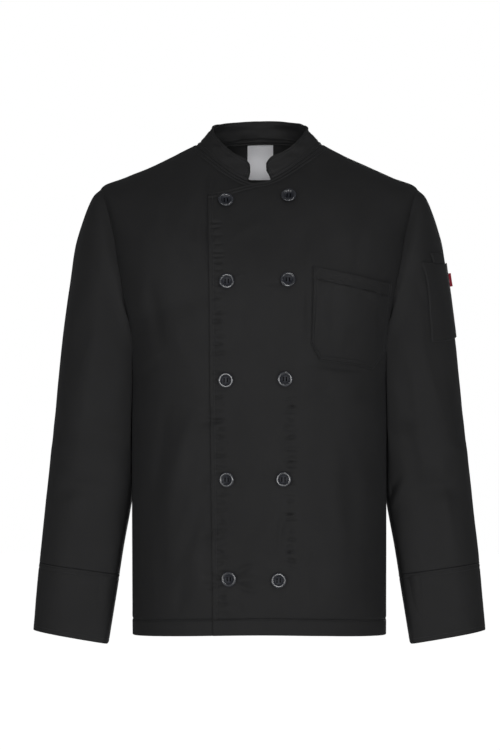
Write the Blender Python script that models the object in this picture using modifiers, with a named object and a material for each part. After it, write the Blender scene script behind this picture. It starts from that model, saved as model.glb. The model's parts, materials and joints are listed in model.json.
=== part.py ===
"""A long-sleeved, double-breasted chef jacket, filled out as if it were worn.

Metres, +Z up. The front faces -Y and the wearer's left is +X. The origin is in the middle of the
neck, at the height of the shoulder seams' neck ends. Each cut and sewn piece is one closed wall of
cloth. All of them are laid on two shared surfaces: the trunk, which is a stack of rounded loops,
and the sleeve, which is a tube of slanted loops.
"""

import math

import bpy
import numpy as np
from mathutils import Matrix, Vector

# ---------------------------------------------------------------- driving dimensions, in metres
CLOTH = 0.0016  # the wall of a panel of twill
DOUBLE_CLOTH = 0.0022  # the wall of a cuff or of the collar, which are folded double
PATCH_CLOTH = 0.0012  # the wall of a pocket or a label
SEAM_GAP = 0.0003  # between two pieces at a seam
LAY_GAP = 0.0005  # between a panel and what lies on it
BUTTON_GAP = 0.0006  # under a sewn button
OVERLAP_LIFT = 0.0028  # how far the lapped front stands out over the one beneath it
LIFT_FROM, LIFT_OVER = 0.105, 0.040  # the half width where that lift starts, and its run
SLEEVE_CLEARANCE = 0.0035  # between a hanging sleeve and the trunk
CUFF_LIFT = 0.0003  # a folded cuff stands out this much past the sleeve

SHOULDER_ROUNDING = 1.6  # how sharply a loop falls away from the shoulder to the front and back
EASE_BY = 0.50  # the sine of the angle by which a loop has its eased sizes
UNDERARM_LEVEL = 0.410
SHOULDER_LEVEL = 0.644
NECK_LEVEL = 0.792
ARMHOLE_FRONT, ARMHOLE_BACK = math.radians(15.0), math.radians(18.5)
ARMHOLE_SKEW = 0.45  # at the front the armhole is cut in more below its middle than above
SHOULDER_SEAM_AT_ARM = math.radians(-3.5)  # the seam lies a little forward of the ridge
SHOULDER_SEAM_AT_NECK = math.radians(-10.0)
COLLAR_END_X = 0.0165  # the collar's ends stand this far from the middle of the front

SIDE_ROWS, SHOULDER_ROWS = 11, 7
FRONT_NECK_COLUMNS, FRONT_LAP_COLUMNS, BACK_COLUMNS = 9, 6, 24
SLEEVE_RINGS = 19
CUFF_AT = 0.84  # the share of the sleeve's length where the cuff is sewn on

# The trunk's loops, from the hem to the neck.
TRUNK_COLUMNS = (
    "level", "half_width", "eased_width", "side_z", "eased_z", "front_depth", "front_z",
    "back_depth", "back_z", "boxiness",
)
TRUNK_LOOPS = (
    (0.000, 0.1835, 0.1835, -0.700, -0.700, 0.1400, -0.694, 0.119, -0.699, 2.50),
    (0.100, 0.1840, 0.1840, -0.600, -0.600, 0.1410, -0.596, 0.117, -0.600, 2.50),
    (0.200, 0.1845, 0.1845, -0.500, -0.500, 0.1400, -0.498, 0.114, -0.500, 2.50),
    (0.300, 0.1845, 0.1845, -0.400, -0.400, 0.1400, -0.399, 0.113, -0.400, 2.50),
    (0.385, 0.1848, 0.1850, -0.315, -0.315, 0.1415, -0.315, 0.115, -0.315, 2.55),
    (0.410, 0.1870, 0.1880, -0.290, -0.290, 0.1420, -0.290, 0.117, -0.290, 2.60),
    (0.440, 0.1910, 0.1910, -0.261, -0.261, 0.1415, -0.262, 0.119, -0.262, 2.70),
    (0.502, 0.2065, 0.2035, -0.199, -0.199, 0.1390, -0.212, 0.120, -0.208, 2.75),
    (0.541, 0.2160, 0.2095, -0.160, -0.161, 0.1355, -0.187, 0.119, -0.178, 2.70),
    (0.581, 0.2220, 0.2095, -0.120, -0.126, 0.1300, -0.166, 0.117, -0.150, 2.60),
    (0.616, 0.2285, 0.2065, -0.085, -0.098, 0.1240, -0.149, 0.114, -0.125, 2.50),
    (0.644, 0.2305, 0.1990, -0.057, -0.078, 0.1180, -0.135, 0.110, -0.104, 2.40),
    (0.685, 0.1925, 0.1830, -0.038, -0.052, 0.1070, -0.110, 0.101, -0.069, 2.30),
    (0.722, 0.1560, 0.1570, -0.0225, -0.0300, 0.0940, -0.086, 0.090, -0.037, 2.20),
    (0.757, 0.1250, 0.1275, -0.0087, -0.0110, 0.0800, -0.066, 0.077, -0.009, 2.10),
    (0.792, 0.0925, 0.0925, 0.0080, 0.0080, 0.0660, -0.050, 0.062, 0.0150, 2.00),
)

# Soft troughs (-) and ridges (+) of the trunk. The angle runs from the wearer's left side, -90 is
# the front and 90 the back.
FOLD_COLUMNS = ("place", "level", "half_length", "half_width", "lean_deg", "height")
TRUNK_FOLDS = (
    (-128.0, 0.25, 0.300, 0.030, 4.0, 0.0030),
    (-150.0, 0.15, 0.240, 0.026, -3.0, -0.0030),
    (-48.0, 0.17, 0.240, 0.028, 3.0, 0.0030),
    (-28.0, 0.12, 0.200, 0.024, -4.0, -0.0026),
    (-140.0, 0.47, 0.100, 0.020, 62.0, -0.0030),
    (-36.0, 0.38, 0.080, 0.022, -58.0, -0.0030),
    (45.0, 0.20, 0.300, 0.030, 4.0, 0.0040),
    (68.0, 0.14, 0.260, 0.026, -2.0, -0.0040),
    (96.0, 0.18, 0.320, 0.030, 1.0, 0.0036),
    (121.0, 0.13, 0.260, 0.026, 3.0, -0.0040),
    (140.0, 0.22, 0.300, 0.030, -4.0, 0.0040),
    (32.0, 0.47, 0.110, 0.020, 55.0, -0.0036),
    (149.0, 0.46, 0.110, 0.020, -55.0, -0.0036),
)

# The sleeve's loops, from the armhole (0) to the end of the cuff (1). Each loop leans from its
# outer point to its inner one.
SLEEVE_COLUMNS = (
    "along", "outer_x", "outer_z", "inner_x", "inner_z", "front_depth", "back_depth", "middle_y",
)
SLEEVE_LOOPS = (
    (0.00, 0.2305, -0.0570, 0.1870, -0.2900, 0.063, 0.066, 0.000),
    (0.05, 0.2410, -0.0665, 0.1900, -0.2925, 0.066, 0.067, 0.001),
    (0.10, 0.2500, -0.0850, 0.1900, -0.2960, 0.068, 0.069, 0.004),
    (0.15, 0.2585, -0.1100, 0.1880, -0.3020, 0.070, 0.072, 0.009),
    (0.20, 0.2670, -0.1400, 0.1860, -0.3100, 0.071, 0.073, 0.015),
    (0.26, 0.2732, -0.1800, 0.1830, -0.3235, 0.071, 0.074, 0.022),
    (0.33, 0.2808, -0.2300, 0.1790, -0.3450, 0.070, 0.072, 0.029),
    (0.40, 0.2875, -0.2820, 0.1765, -0.3740, 0.068, 0.070, 0.034),
    (0.48, 0.2938, -0.3400, 0.1755, -0.4130, 0.065, 0.067, 0.036),
    (0.57, 0.3000, -0.4050, 0.1790, -0.4640, 0.061, 0.063, 0.036),
    (0.67, 0.3080, -0.4780, 0.1880, -0.5230, 0.056, 0.058, 0.034),
    (0.77, 0.3147, -0.5450, 0.1978, -0.5770, 0.051, 0.053, 0.030),
    (0.84, 0.3200, -0.5985, 0.2036, -0.6146, 0.047, 0.049, 0.027),
    (1.00, 0.3290, -0.6955, 0.2197, -0.7145, 0.040, 0.042, 0.022),
)
SLEEVE_BOXINESS, INNER_FULLNESS = 2.15, 4.0  # a sleeve is squarer where it lies against the trunk
SLEEVE_LENGTH, SLEEVE_RADIUS = 0.66, 0.062  # turn a fold's share and angle into distances
CAP_ENDS = 0.20  # the share of the length by which the armhole's own shape has faded out
PRESS_OVER, PRESS_RUN, PRESS_SOFTNESS = 0.06, 0.01, 0.004  # how the trunk flattens its inside
FOLDS_OVER = 0.15  # the share of the length over which the sleeve's folds come in
# For a sleeve the place runs from the outer side (0) through the back (90) to the inner side.
SLEEVE_FOLDS = (
    (-75.0, 0.66, 0.055, 0.014, 62.0, -0.0045),
    (-40.0, 0.60, 0.050, 0.013, 70.0, 0.0035),
    (-100.0, 0.52, 0.050, 0.016, 55.0, -0.0040),
    (-60.0, 0.36, 0.090, 0.018, 20.0, -0.0030),
    (70.0, 0.62, 0.055, 0.014, -64.0, -0.0045),
    (35.0, 0.55, 0.050, 0.014, -70.0, 0.0035),
    (95.0, 0.70, 0.050, 0.013, -60.0, -0.0040),
    (60.0, 0.32, 0.090, 0.018, -18.0, -0.0034),
)

# The collar band, from the middle of the back (0) to its front end (1).
COLLAR_COLUMNS = ("share", "height", "lean_deg")
COLLAR_SHAPE = (
    (0.00, 0.0315, 13.0),
    (0.25, 0.0353, 31.0),
    (0.45, 0.0400, 44.0),
    (0.60, 0.0340, 38.0),
    (0.80, 0.0305, 26.0),
    (1.00, 0.0310, 10.0),
)
COLLAR_CORNER = 0.013  # the radius of its front corners
COLLAR_TURN = 1.6  # how much its lean turns from the sides towards the front and back
COLLAR_ROWS = 4

# The overlap's top edge and front edge, seen from the front: x and z.
LAP_TOP = (
    (0.0035, -0.0503), (-0.0062, -0.0514), (-0.0206, -0.0549), (-0.0392, -0.0604),
    (-0.0506, -0.0628), (-0.0728, -0.0672),
)
UNDERLAP_TOP = ((-0.0040, -0.0505), (-0.0300, -0.0600))
LAP_HEM_X = -0.0647
UNDERLAP_X, UNDERLAP_TOP_Z = 0.0640, -0.0800

# The chest pocket's edges, seen from the front: x and z.
CHEST_POCKET_TOP = ((0.0741, -0.1725), (0.1290, -0.1835), (0.1750, -0.1935), (0.1890, -0.1950))
CHEST_POCKET_FOOT = (
    (0.0720, -0.2821), (0.0854, -0.3062), (0.1338, -0.3118), (0.1598, -0.3189), (0.1775, -0.2960),
)
CHEST_POCKET_BULGE = 0.0030
BULGE_FROM, BULGE_TO = 0.15, 0.75  # the part of half a wave that it follows, foot to top

# Pieces on the wearer's left sleeve: the places of their sides, and the shares of the sleeve's
# length of their top and foot on its outer side, which they leave by a dip towards the front.
SLEEVE_PATCH_COLUMNS = ("front_deg", "back_deg", "top", "top_dip", "foot", "foot_dip")
SLEEVE_POCKET = (-71.0, 14.0, 0.2360, 0.175, 0.386, 0.058)
PEN_BAND = (-52.0, -20.0, 0.2087, 0.190, 0.2353, 0.175)
DIP_POWER = 1.4
SIDE_TAB_PLACE, SIDE_TAB_FROM, SIDE_TAB_TO = math.radians(16.5), 0.254, 0.282
SIDE_TAB_REACH = 0.0088

LABEL_MIDDLE_X, LABEL_WIDTH, LABEL_FOOT_LEVEL = 0.0018, 0.0385, 0.722
LABEL_TOP_LEVEL = 0.790
LABEL_TOP_GAP, LABEL_GAP = 0.0009, 0.0018  # sewn at its top, it hangs clear of the back below

# The buttons, seen from the front: x and z of the closing column and of the other one.
BUTTON_COLUMNS = ("closing_x", "closing_z", "other_x", "other_z")
BUTTON_ROWS = (
    (-0.0480, -0.0772, 0.0422, -0.0718),
    (-0.0463, -0.1930, 0.0402, -0.1912),
    (-0.0476, -0.3333, 0.0357, -0.3316),
    (-0.0456, -0.4743, 0.0336, -0.4738),
    (-0.0429, -0.6150, 0.0272, -0.6168),
)
BUTTON_RADIUS, BUTTON_THICKNESS, BUTTON_STEPS = 0.0110, 0.0044, 16
# A button's outline from the middle of its dish to the middle of its back, as shares of both.
BUTTON_PROFILE = (
    (0.00, 0.62), (0.56, 0.60), (0.70, 0.93), (0.84, 1.00), (0.97, 0.80), (1.00, 0.50),
    (0.88, 0.14), (0.60, 0.00), (0.00, 0.00),
)

CHARCOAL = (0.017, 0.018, 0.020, 1.0)
LABEL_SILVER = (0.50, 0.50, 0.52, 1.0)
TAB_RED = (0.42, 0.02, 0.05, 1.0)
BUTTON_NAVY = (0.012, 0.016, 0.026, 1.0)


# ---------------------------------------------------------------- helpers
def read_table(names, rows):
    """The rows as one array for each named column."""
    return dict(zip(names, np.array(rows, float).T))


def smooth(table, over, name, at):
    """A cubic through a table's column, read at some values of the column it runs over. Past its
    ends it goes straight on."""
    places, values = table[over], table[name]
    slopes = np.gradient(values, places)
    beyond = at - np.clip(at, places[0], places[-1])
    at = at - beyond
    i = np.clip(np.searchsorted(places, at, side="right") - 1, 0, len(places) - 2)
    run = places[i + 1] - places[i]
    t = (at - places[i]) / run
    ease = t * t * (3 - 2 * t)
    turn = t * (1 - t) ** 2 * slopes[i] - t * t * (1 - t) * slopes[i + 1]
    curve = values[i] + ease * (values[i + 1] - values[i]) + run * turn
    return curve + beyond * np.where(beyond < 0, slopes[0], slopes[-1])


def smoothstep(share):
    share = np.clip(share, 0.0, 1.0)
    return share * share * (3 - 2 * share)


def unit(vectors):
    return vectors / np.linalg.norm(vectors, axis=-1, keepdims=True)


def fold_height(folds, place, along, radius, length):
    """The sum of soft troughs and ridges, on a sheet that is measured in metres both ways."""
    height = np.zeros(np.broadcast(place, along).shape)
    for fold_place, level, half_length, half_width, lean_deg, peak in folds:
        aside = (place - math.radians(fold_place) + math.pi) % (2 * math.pi) - math.pi
        across, up = aside * radius, (along - level) * length
        lean = math.radians(lean_deg)
        along_fold = up * math.cos(lean) + across * math.sin(lean)
        from_fold = across * math.cos(lean) - up * math.sin(lean)
        fade = np.cos(np.clip(along_fold / half_length, -1, 1) * math.pi / 2) ** 2
        height = height + peak * fade * np.exp(-((from_fold / half_width) ** 2))
    return height


def with_normals(surface, first, second, step=1e-4):
    """Points of a surface of two parameters and the unit normals there."""
    along_first = surface(first + step, second) - surface(first - step, second)
    along_second = surface(first, second + step) - surface(first, second - step)
    return surface(first, second), unit(np.cross(along_first, along_second))


# ---------------------------------------------------------------- the trunk's surface
TRUNK = read_table(TRUNK_COLUMNS, TRUNK_LOOPS)
SLEEVE = read_table(SLEEVE_COLUMNS, SLEEVE_LOOPS)
COLLAR = read_table(COLLAR_COLUMNS, COLLAR_SHAPE)
TRUNK_RADIUS = 0.15  # turns a fold's angle into a distance
FRONT_RADIUS = 0.16  # near that of the front, to step towards a point on it
SIDE_RADIUS = 0.20  # near that of the sides
HEM_SIDE_Z, HEM_FRONT_Z = TRUNK["side_z"][0], TRUNK["front_z"][0]


def plain_trunk(angle, level):
    """The trunk without its folds: a loop at each level, its shoulders higher than its front."""
    angle, level = np.broadcast_arrays(angle, level)
    at_front = np.sin(angle) < 0
    loop = {name: smooth(TRUNK, "level", name, level) for name in TRUNK_COLUMNS[1:]}
    depth = np.where(at_front, loop["front_depth"], loop["back_depth"])
    middle_z = np.where(at_front, loop["front_z"], loop["back_z"])
    power = loop["boxiness"]
    # Toward the front and back a loop takes its eased sizes, so the shoulder's corner fades out.
    ease = smoothstep(np.abs(np.sin(angle)) / EASE_BY)
    width = loop["half_width"] + (loop["eased_width"] - loop["half_width"]) * ease
    side_z = loop["side_z"] + (loop["eased_z"] - loop["side_z"]) * ease
    reach = (
        np.abs(np.cos(angle) / width) ** power
        + np.abs(np.sin(angle) / depth) ** power
    ) ** (-1 / power)
    fall = np.abs(np.sin(angle)) ** SHOULDER_ROUNDING
    z = side_z + (middle_z - side_z) * fall
    return np.stack([reach * np.cos(angle), reach * np.sin(angle), z], axis=-1)


def trunk(angle, level):
    """The trunk's outer surface with its soft folds."""
    points, normals = with_normals(plain_trunk, angle, level)
    return points + normals * fold_height(TRUNK_FOLDS, angle, level, TRUNK_RADIUS, 1.0)[..., None]


def find_on_front(x, z):
    """The angle and level of the point of the front that is seen at x and z."""
    x, z = np.broadcast_arrays(np.asarray(x, float), np.asarray(z, float))
    level = np.clip(z - HEM_FRONT_Z, 0.0, NECK_LEVEL)
    angle = np.full(x.shape, -math.pi / 2)
    for _ in range(30):
        for _ in range(2):
            angle = angle + (trunk(angle, level)[..., 0] - x) / FRONT_RADIUS * np.sin(angle)
        level = np.clip(level + 0.7 * (z - trunk(angle, level)[..., 2]), 0.0, NECK_LEVEL)
    return angle, level


def front_angle(x, level):
    """The angle on the front where a level's loop passes x."""
    angle = np.full(np.shape(level), -math.pi / 2)
    for _ in range(40):
        angle = angle - (plain_trunk(angle, level)[..., 0] - x) / SIDE_RADIUS
    return angle


def armhole(turn, inset=0.0):
    """The armhole's edge on the trunk: angle and level. The turn is 0 at the shoulder, where it
    meets the seam, and runs down the front when it is negative."""
    front_reach = ARMHOLE_FRONT * (1 - ARMHOLE_SKEW * np.cos(turn))
    reach = np.where(np.sin(turn) < 0, front_reach, ARMHOLE_BACK) - inset / SIDE_RADIUS
    top = SHOULDER_SEAM_AT_ARM * (1 + np.cos(turn)) / 2
    middle = (UNDERARM_LEVEL + SHOULDER_LEVEL) / 2
    half = (SHOULDER_LEVEL - UNDERARM_LEVEL) / 2 - inset
    return top + reach * np.sin(turn), middle + half * np.cos(turn)


# From the underarm to the shoulder, with a longer first step where the edge runs level.
ARMHOLE_TURNS = np.radians([180, 152, 132, 114, 97, 80, 63, 47, 32, 16, 0])


def outer_edge(side):
    """A panel's side seam, armhole and shoulder seam. The side is -1 for a front, 1 for a back."""
    side_levels = np.linspace(0.0, UNDERARM_LEVEL, SIDE_ROWS + 1)[:-1]
    arm_angles, arm_levels = armhole(side * ARMHOLE_TURNS)
    top_levels = np.linspace(SHOULDER_LEVEL, NECK_LEVEL, SHOULDER_ROWS + 1)[1:]
    share = (top_levels - SHOULDER_LEVEL) / (NECK_LEVEL - SHOULDER_LEVEL)
    top_angles = SHOULDER_SEAM_AT_ARM + share * (SHOULDER_SEAM_AT_NECK - SHOULDER_SEAM_AT_ARM)
    levels = np.concatenate([side_levels, arm_levels, top_levels])
    gap = side * SEAM_GAP / 2 / smooth(TRUNK, "level", "half_width", levels)
    angles = np.concatenate([np.full(SIDE_ROWS, 0.0), arm_angles, top_angles]) + gap
    return np.stack([angles, levels], axis=-1)


def coons(start, end, foot, top):
    """A net between four edges, which meet at the corners. Each edge is an array of places."""
    v = np.linspace(0, 1, len(start))[:, None, None]
    u = np.linspace(0, 1, len(foot))[None, :, None]
    across = (1 - u) * start[:, None] + u * end[:, None]
    upward = (1 - v) * foot[None, :] + v * top[None, :]
    corners = (1 - v) * ((1 - u) * start[0] + u * end[0]) + v * ((1 - u) * start[-1] + u * end[-1])
    return across + upward - corners


def resample(points, count):
    """Evenly spaced places along a line through some points, its ends kept."""
    points = np.asarray(points, float)
    steps = np.linalg.norm(np.diff(points, axis=0), axis=1)
    run = np.concatenate([[0.0], np.cumsum(steps)])
    at = np.linspace(0, run[-1], count + 1)
    return np.stack([np.interp(at, run, points[:, k]) for k in range(points.shape[1])], axis=-1)


def collar_end_angle():
    return float(front_angle(np.array([COLLAR_END_X]), np.array([NECK_LEVEL]))[0])


DROP_FROM = 0.5  # the level from which a front's rows dip towards its lower front corner


def front_net(top_points, hem_x):
    """The net of a front, for the wearer's left. It ends at the last of the top edge's points."""
    start = outer_edge(-1)
    top_angle, top_level = find_on_front(*np.array(top_points).T)
    neck_angles = np.linspace(start[-1, 0], collar_end_angle(), FRONT_NECK_COLUMNS + 1)
    neck = np.stack([neck_angles, np.full(neck_angles.shape, NECK_LEVEL)], axis=-1)
    lap = np.concatenate([neck[-1:], np.stack([top_angle, top_level], axis=-1)])
    top = np.concatenate([neck, resample(lap, FRONT_LAP_COLUMNS)[1:]])
    ease = smoothstep((start[:, 1] - DROP_FROM) / (NECK_LEVEL - DROP_FROM))
    end_levels = start[:, 1] - (NECK_LEVEL - top_level[-1]) * ease
    corner_x = top_points[-1][0]
    edge_x = hem_x + (corner_x - hem_x) * end_levels / top_level[-1]
    end = np.stack([front_angle(edge_x, end_levels), end_levels], axis=-1)
    end[-1] = top[-1]
    columns = FRONT_NECK_COLUMNS + FRONT_LAP_COLUMNS
    foot = np.stack([np.linspace(start[0, 0], end[0, 0], columns + 1), np.zeros(columns + 1)], -1)
    return coons(start, end, foot, top)


def back_net():
    """The net of the whole back, from the wearer's left side to the right."""
    start = outer_edge(1)
    end = np.stack([math.pi - start[:, 0], start[:, 1]], axis=-1)
    angles = np.linspace(start[0, 0], end[0, 0], BACK_COLUMNS + 1)
    foot = np.stack([angles, np.zeros(angles.shape)], axis=-1)
    angles = np.linspace(start[-1, 0], end[-1, 0], BACK_COLUMNS + 1)
    top = np.stack([angles, np.full(angles.shape, NECK_LEVEL)], axis=-1)
    return coons(start, end, foot, top)


def overlap_lift(points):
    """How far the lapped front stands out, which grows from its shoulder to the middle."""
    return OVERLAP_LIFT * smoothstep((LIFT_FROM - points[..., 0]) / LIFT_OVER)


# ---------------------------------------------------------------- the sleeve's surface
def trunk_side(y, z):
    """Half the trunk's width below the underarm, at a depth and height."""
    level = np.clip(z - HEM_SIDE_Z, 0.0, UNDERARM_LEVEL)
    depth_name = np.where(y < 0, smooth(TRUNK, "level", "front_depth", level),
                          smooth(TRUNK, "level", "back_depth", level))
    power = smooth(TRUNK, "level", "boxiness", level)
    share = np.clip(np.abs(y) / depth_name, 0.0, 1.0)
    return smooth(TRUNK, "level", "half_width", level) * (1 - share**power) ** (1 / power)


def sleeve_loop(turn, along):
    """A slanted oval of the sleeve."""
    loop = {name: smooth(SLEEVE, "along", name, along) for name in SLEEVE_COLUMNS[1:]}
    c, s = np.cos(turn), np.sin(turn)
    power = 2 / (SLEEVE_BOXINESS + INNER_FULLNESS * ((1 - c) / 2) ** 3)
    out, aside = np.sign(c) * np.abs(c) ** power, np.sign(s) * np.abs(s) ** power
    depth = np.where(s < 0, loop["front_depth"], loop["back_depth"])
    x = (loop["outer_x"] + loop["inner_x"]) / 2 + out * (loop["outer_x"] - loop["inner_x"]) / 2
    z = (loop["outer_z"] + loop["inner_z"]) / 2 + out * (loop["outer_z"] - loop["inner_z"]) / 2
    return np.stack([x, loop["middle_y"] + aside * depth, z], axis=-1)


def sleeve(turn, along):
    """The left sleeve's outer surface. It starts on the armhole's edge and hangs beside the
    trunk, which flattens its inner side."""
    turn, along = np.broadcast_arrays(turn, along)
    points = sleeve_loop(turn, along)
    seam = plain_trunk(*armhole(turn, SEAM_GAP)) - sleeve_loop(turn, np.zeros(along.shape))
    points = points + seam * ((1 - np.clip(along / CAP_ENDS, 0, 1)) ** 2)[..., None]
    floor = trunk_side(points[..., 1], points[..., 2]) + SLEEVE_CLEARANCE
    over = points[..., 0] - floor
    pressed = floor + (over + np.sqrt(over**2 + PRESS_SOFTNESS**2)) / 2
    below = HEM_SIDE_Z + UNDERARM_LEVEL - points[..., 2]
    press = smoothstep(along / PRESS_OVER) * smoothstep(below / PRESS_RUN)
    points[..., 0] += (pressed - points[..., 0]) * press
    fade = smoothstep(along / FOLDS_OVER)[..., None]
    outward = unit(points - np.stack([
        smooth(SLEEVE, "along", "outer_x", along) / 2 + smooth(SLEEVE, "along", "inner_x", along) / 2,
        smooth(SLEEVE, "along", "middle_y", along),
        points[..., 2],
    ], axis=-1))
    height = fold_height(SLEEVE_FOLDS, turn, along, SLEEVE_RADIUS, SLEEVE_LENGTH)
    return points + outward * height[..., None] * fade


def sleeve_with_normals(turn, along):
    points, normals = with_normals(sleeve, turn, along)
    normals = -normals
    # At the armhole the upper rim of the sleeve stands as the trunk's does, so they don't cross.
    trunk_normals = with_normals(plain_trunk, *armhole(turn, SEAM_GAP))[1]
    share = (np.where(along < 1e-6, 1.0, 0.0) * (1 + np.cos(turn)) / 2)[..., None]
    return points, unit(normals * (1 - share) + trunk_normals * share)


# ---------------------------------------------------------------- making walls
def add_material(name, colour, roughness):
    material = bpy.data.materials.new(name)
    material.use_nodes = True
    shader = material.node_tree.nodes["Principled BSDF"]
    shader.inputs["Base Color"].default_value = colour
    shader.inputs["Roughness"].default_value = roughness
    material.diffuse_color = colour
    return material


def cloth_wall(name, outer, normals, thickness, closed=False):
    """A closed wall of cloth behind a net of points. The rims stand on the shared surface's own
    normals, which Solidify can't see past a panel's edge, so that seams stay evenly open. A
    closed net's last column meets its first, as in a tube."""
    rows, columns = outer.shape[:2]
    points = np.concatenate([outer.reshape(-1, 3), (outer - normals * thickness).reshape(-1, 3)])
    inner = rows * columns
    spans = columns if closed else columns - 1

    def corner(row, column, layer):
        return layer * inner + row * columns + column % columns

    faces = []
    for row in range(rows - 1):
        for column in range(spans):
            square = [(row, column), (row, column + 1), (row + 1, column + 1), (row + 1, column)]
            a, b, c, d = (outer[r, k % columns] for r, k in square)
            # A square bends along the line from its first corner, so that is its shorter one.
            if np.linalg.norm(d - b) < np.linalg.norm(c - a):
                square = square[1:] + square[:1]
            first, second, third, fourth = square
            faces.append([corner(r, k, 0) for r, k in square])
            faces.append([corner(r, k, 1) for r, k in (first, fourth, third, second)])
    for column in range(spans):
        for row, ends in ((0, (column + 1, column)), (rows - 1, (column, column + 1))):
            first, second = ends
            faces.append([corner(row, first, 0), corner(row, second, 0),
                          corner(row, second, 1), corner(row, first, 1)])
    if not closed:
        for row in range(rows - 1):
            for column, ends in ((0, (row, row + 1)), (columns - 1, (row + 1, row))):
                first, second = ends
                faces.append([corner(first, column, 0), corner(second, column, 0),
                              corner(second, column, 1), corner(first, column, 1)])
    mesh = bpy.data.meshes.new(name)
    mesh.from_pydata([tuple(p) for p in points], [], faces)
    # A net may run either way round the surface. Its first square tells which.
    square = outer[1, 1] - outer[0, 0], outer[1, 0] - outer[0, 1]
    if np.dot(np.cross(*square), normals[0, 0]) < 0:
        mesh.flip_normals()
    return mesh


def add_piece(name, mesh, material):
    piece = bpy.data.objects.new(name, mesh)
    mesh.materials.append(material)
    mesh.shade_smooth()
    mesh.set_sharp_from_angle(angle=math.radians(50))
    jacket.objects.link(piece)
    return piece


def mirrored(outer, normals):
    """The same net on the wearer's right."""
    flip = np.array([-1.0, 1.0, 1.0])
    return outer * flip, normals * flip


# ---------------------------------------------------------------- the pieces
def make_fronts(material):
    angle, level = np.moveaxis(front_net(LAP_TOP, LAP_HEM_X), -1, 0)
    points, normals = with_normals(trunk, angle, level)
    points = points + normals * overlap_lift(points)[..., None]
    add_piece("front_left", cloth_wall("front_left", points, normals, CLOTH), material)

    # The right front's net is the mirror of a left one, but its folds are its own.
    mirrored_top = (*UNDERLAP_TOP, (-UNDERLAP_X, UNDERLAP_TOP_Z))
    angle, level = np.moveaxis(front_net(mirrored_top, -UNDERLAP_X), -1, 0)
    points, normals = with_normals(trunk, math.pi - angle, level)
    add_piece("front_right", cloth_wall("front_right", points, normals, CLOTH), material)


def make_back(material):
    angle, level = np.moveaxis(back_net(), -1, 0)
    points, normals = with_normals(trunk, angle, level)
    add_piece("back", cloth_wall("back", points, normals, CLOTH), material)


def tube_turns():
    half = ARMHOLE_TURNS[::-1]
    return np.concatenate([half, -half[-2:0:-1]])


def make_sleeves(material):
    turns = tube_turns()
    seam_share = SEAM_GAP / 2 / SLEEVE_LENGTH
    parts = (
        ("sleeve", np.linspace(0.0, CUFF_AT - seam_share, SLEEVE_RINGS + 1), 0.0, CLOTH),
        ("cuff", np.linspace(CUFF_AT + seam_share, 1.0, 4), CUFF_LIFT, DOUBLE_CLOTH),
    )
    for name, along, lift, thickness in parts:
        turn, along = np.meshgrid(turns, along)
        points, normals = sleeve_with_normals(turn, along)
        points = points + normals * lift
        for side, (outer, out) in (
            ("left", (points, normals)), ("right", mirrored(points, normals)),
        ):
            node = f"{name}_{side}"
            add_piece(node, cloth_wall(node, outer, out, thickness, closed=True), material)


def collar_base():
    """The seam round the neck from the right end to the left end: places, lifts and shares."""
    front = np.linspace(outer_edge(-1)[-1, 0], collar_end_angle(), FRONT_NECK_COLUMNS + 1)
    start = outer_edge(1)[-1, 0]
    back = np.linspace(math.pi - start, start, BACK_COLUMNS + 1)
    angles = np.concatenate([(math.pi - front)[::-1][:-1], back, front[1:]])
    levels = np.full(angles.shape, NECK_LEVEL)
    points, normals = with_normals(plain_trunk, angles, levels)
    on_left_front = np.arange(len(angles)) > FRONT_NECK_COLUMNS + BACK_COLUMNS
    lift = np.where(on_left_front, overlap_lift(points), 0.0)
    points = points + normals * lift[:, None]
    steps = np.concatenate([[0.0], np.cumsum(np.linalg.norm(np.diff(points, axis=0), axis=1))])
    return points, steps / steps[-1] * 2 - 1, steps


def make_collar(material):
    base, share, run = collar_base()
    height = smooth(COLLAR, "share", "height", np.abs(share))
    lean = np.radians(smooth(COLLAR, "share", "lean_deg", np.abs(share)))
    inward = -base * np.array([1.0, 1.0, 0.0])
    inward[:, 1] *= COLLAR_TURN
    inward = unit(inward)
    up = np.array([0.0, 0.0, 1.0])
    rise = up * np.cos(lean)[:, None] + inward * np.sin(lean)[:, None]
    from_end = np.minimum(run, run[-1] - run)
    short = np.clip(COLLAR_CORNER - from_end, 0.0, COLLAR_CORNER)
    height = height - (COLLAR_CORNER - np.sqrt(COLLAR_CORNER**2 - short**2))
    rows = np.linspace(0, 1, COLLAR_ROWS + 1)[:, None]
    rows = SEAM_GAP + rows * (height - SEAM_GAP)
    outer = base + rise * rows[..., None]
    along = np.gradient(outer, axis=1)
    normals = unit(np.cross(along, np.gradient(outer, axis=0)))
    normals = normals * np.sign(np.sum(normals * -inward, axis=-1))[..., None]
    add_piece("collar", cloth_wall("collar", outer, normals, DOUBLE_CLOTH), material)


def make_chest_pocket(material):
    columns, rows = 10, 9
    top, foot = resample(CHEST_POCKET_TOP, columns), resample(CHEST_POCKET_FOOT, columns)
    start, end = resample([foot[0], top[0]], rows), resample([foot[-1], top[-1]], rows)
    x, z = np.moveaxis(coons(start, end, foot, top), -1, 0)
    angle, level = find_on_front(x, z)
    points, normals = with_normals(trunk, angle, level)
    across = np.sin(np.linspace(0, math.pi, columns + 1))[None]
    upward = np.sin(math.pi * np.linspace(BULGE_FROM, BULGE_TO, rows + 1))[:, None] ** 2
    lift = overlap_lift(points) + LAY_GAP + PATCH_CLOTH + CHEST_POCKET_BULGE * across * upward
    points = points + normals * lift[..., None]
    add_piece("chest_pocket", cloth_wall("chest_pocket", points, normals, PATCH_CLOTH), material)


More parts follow.
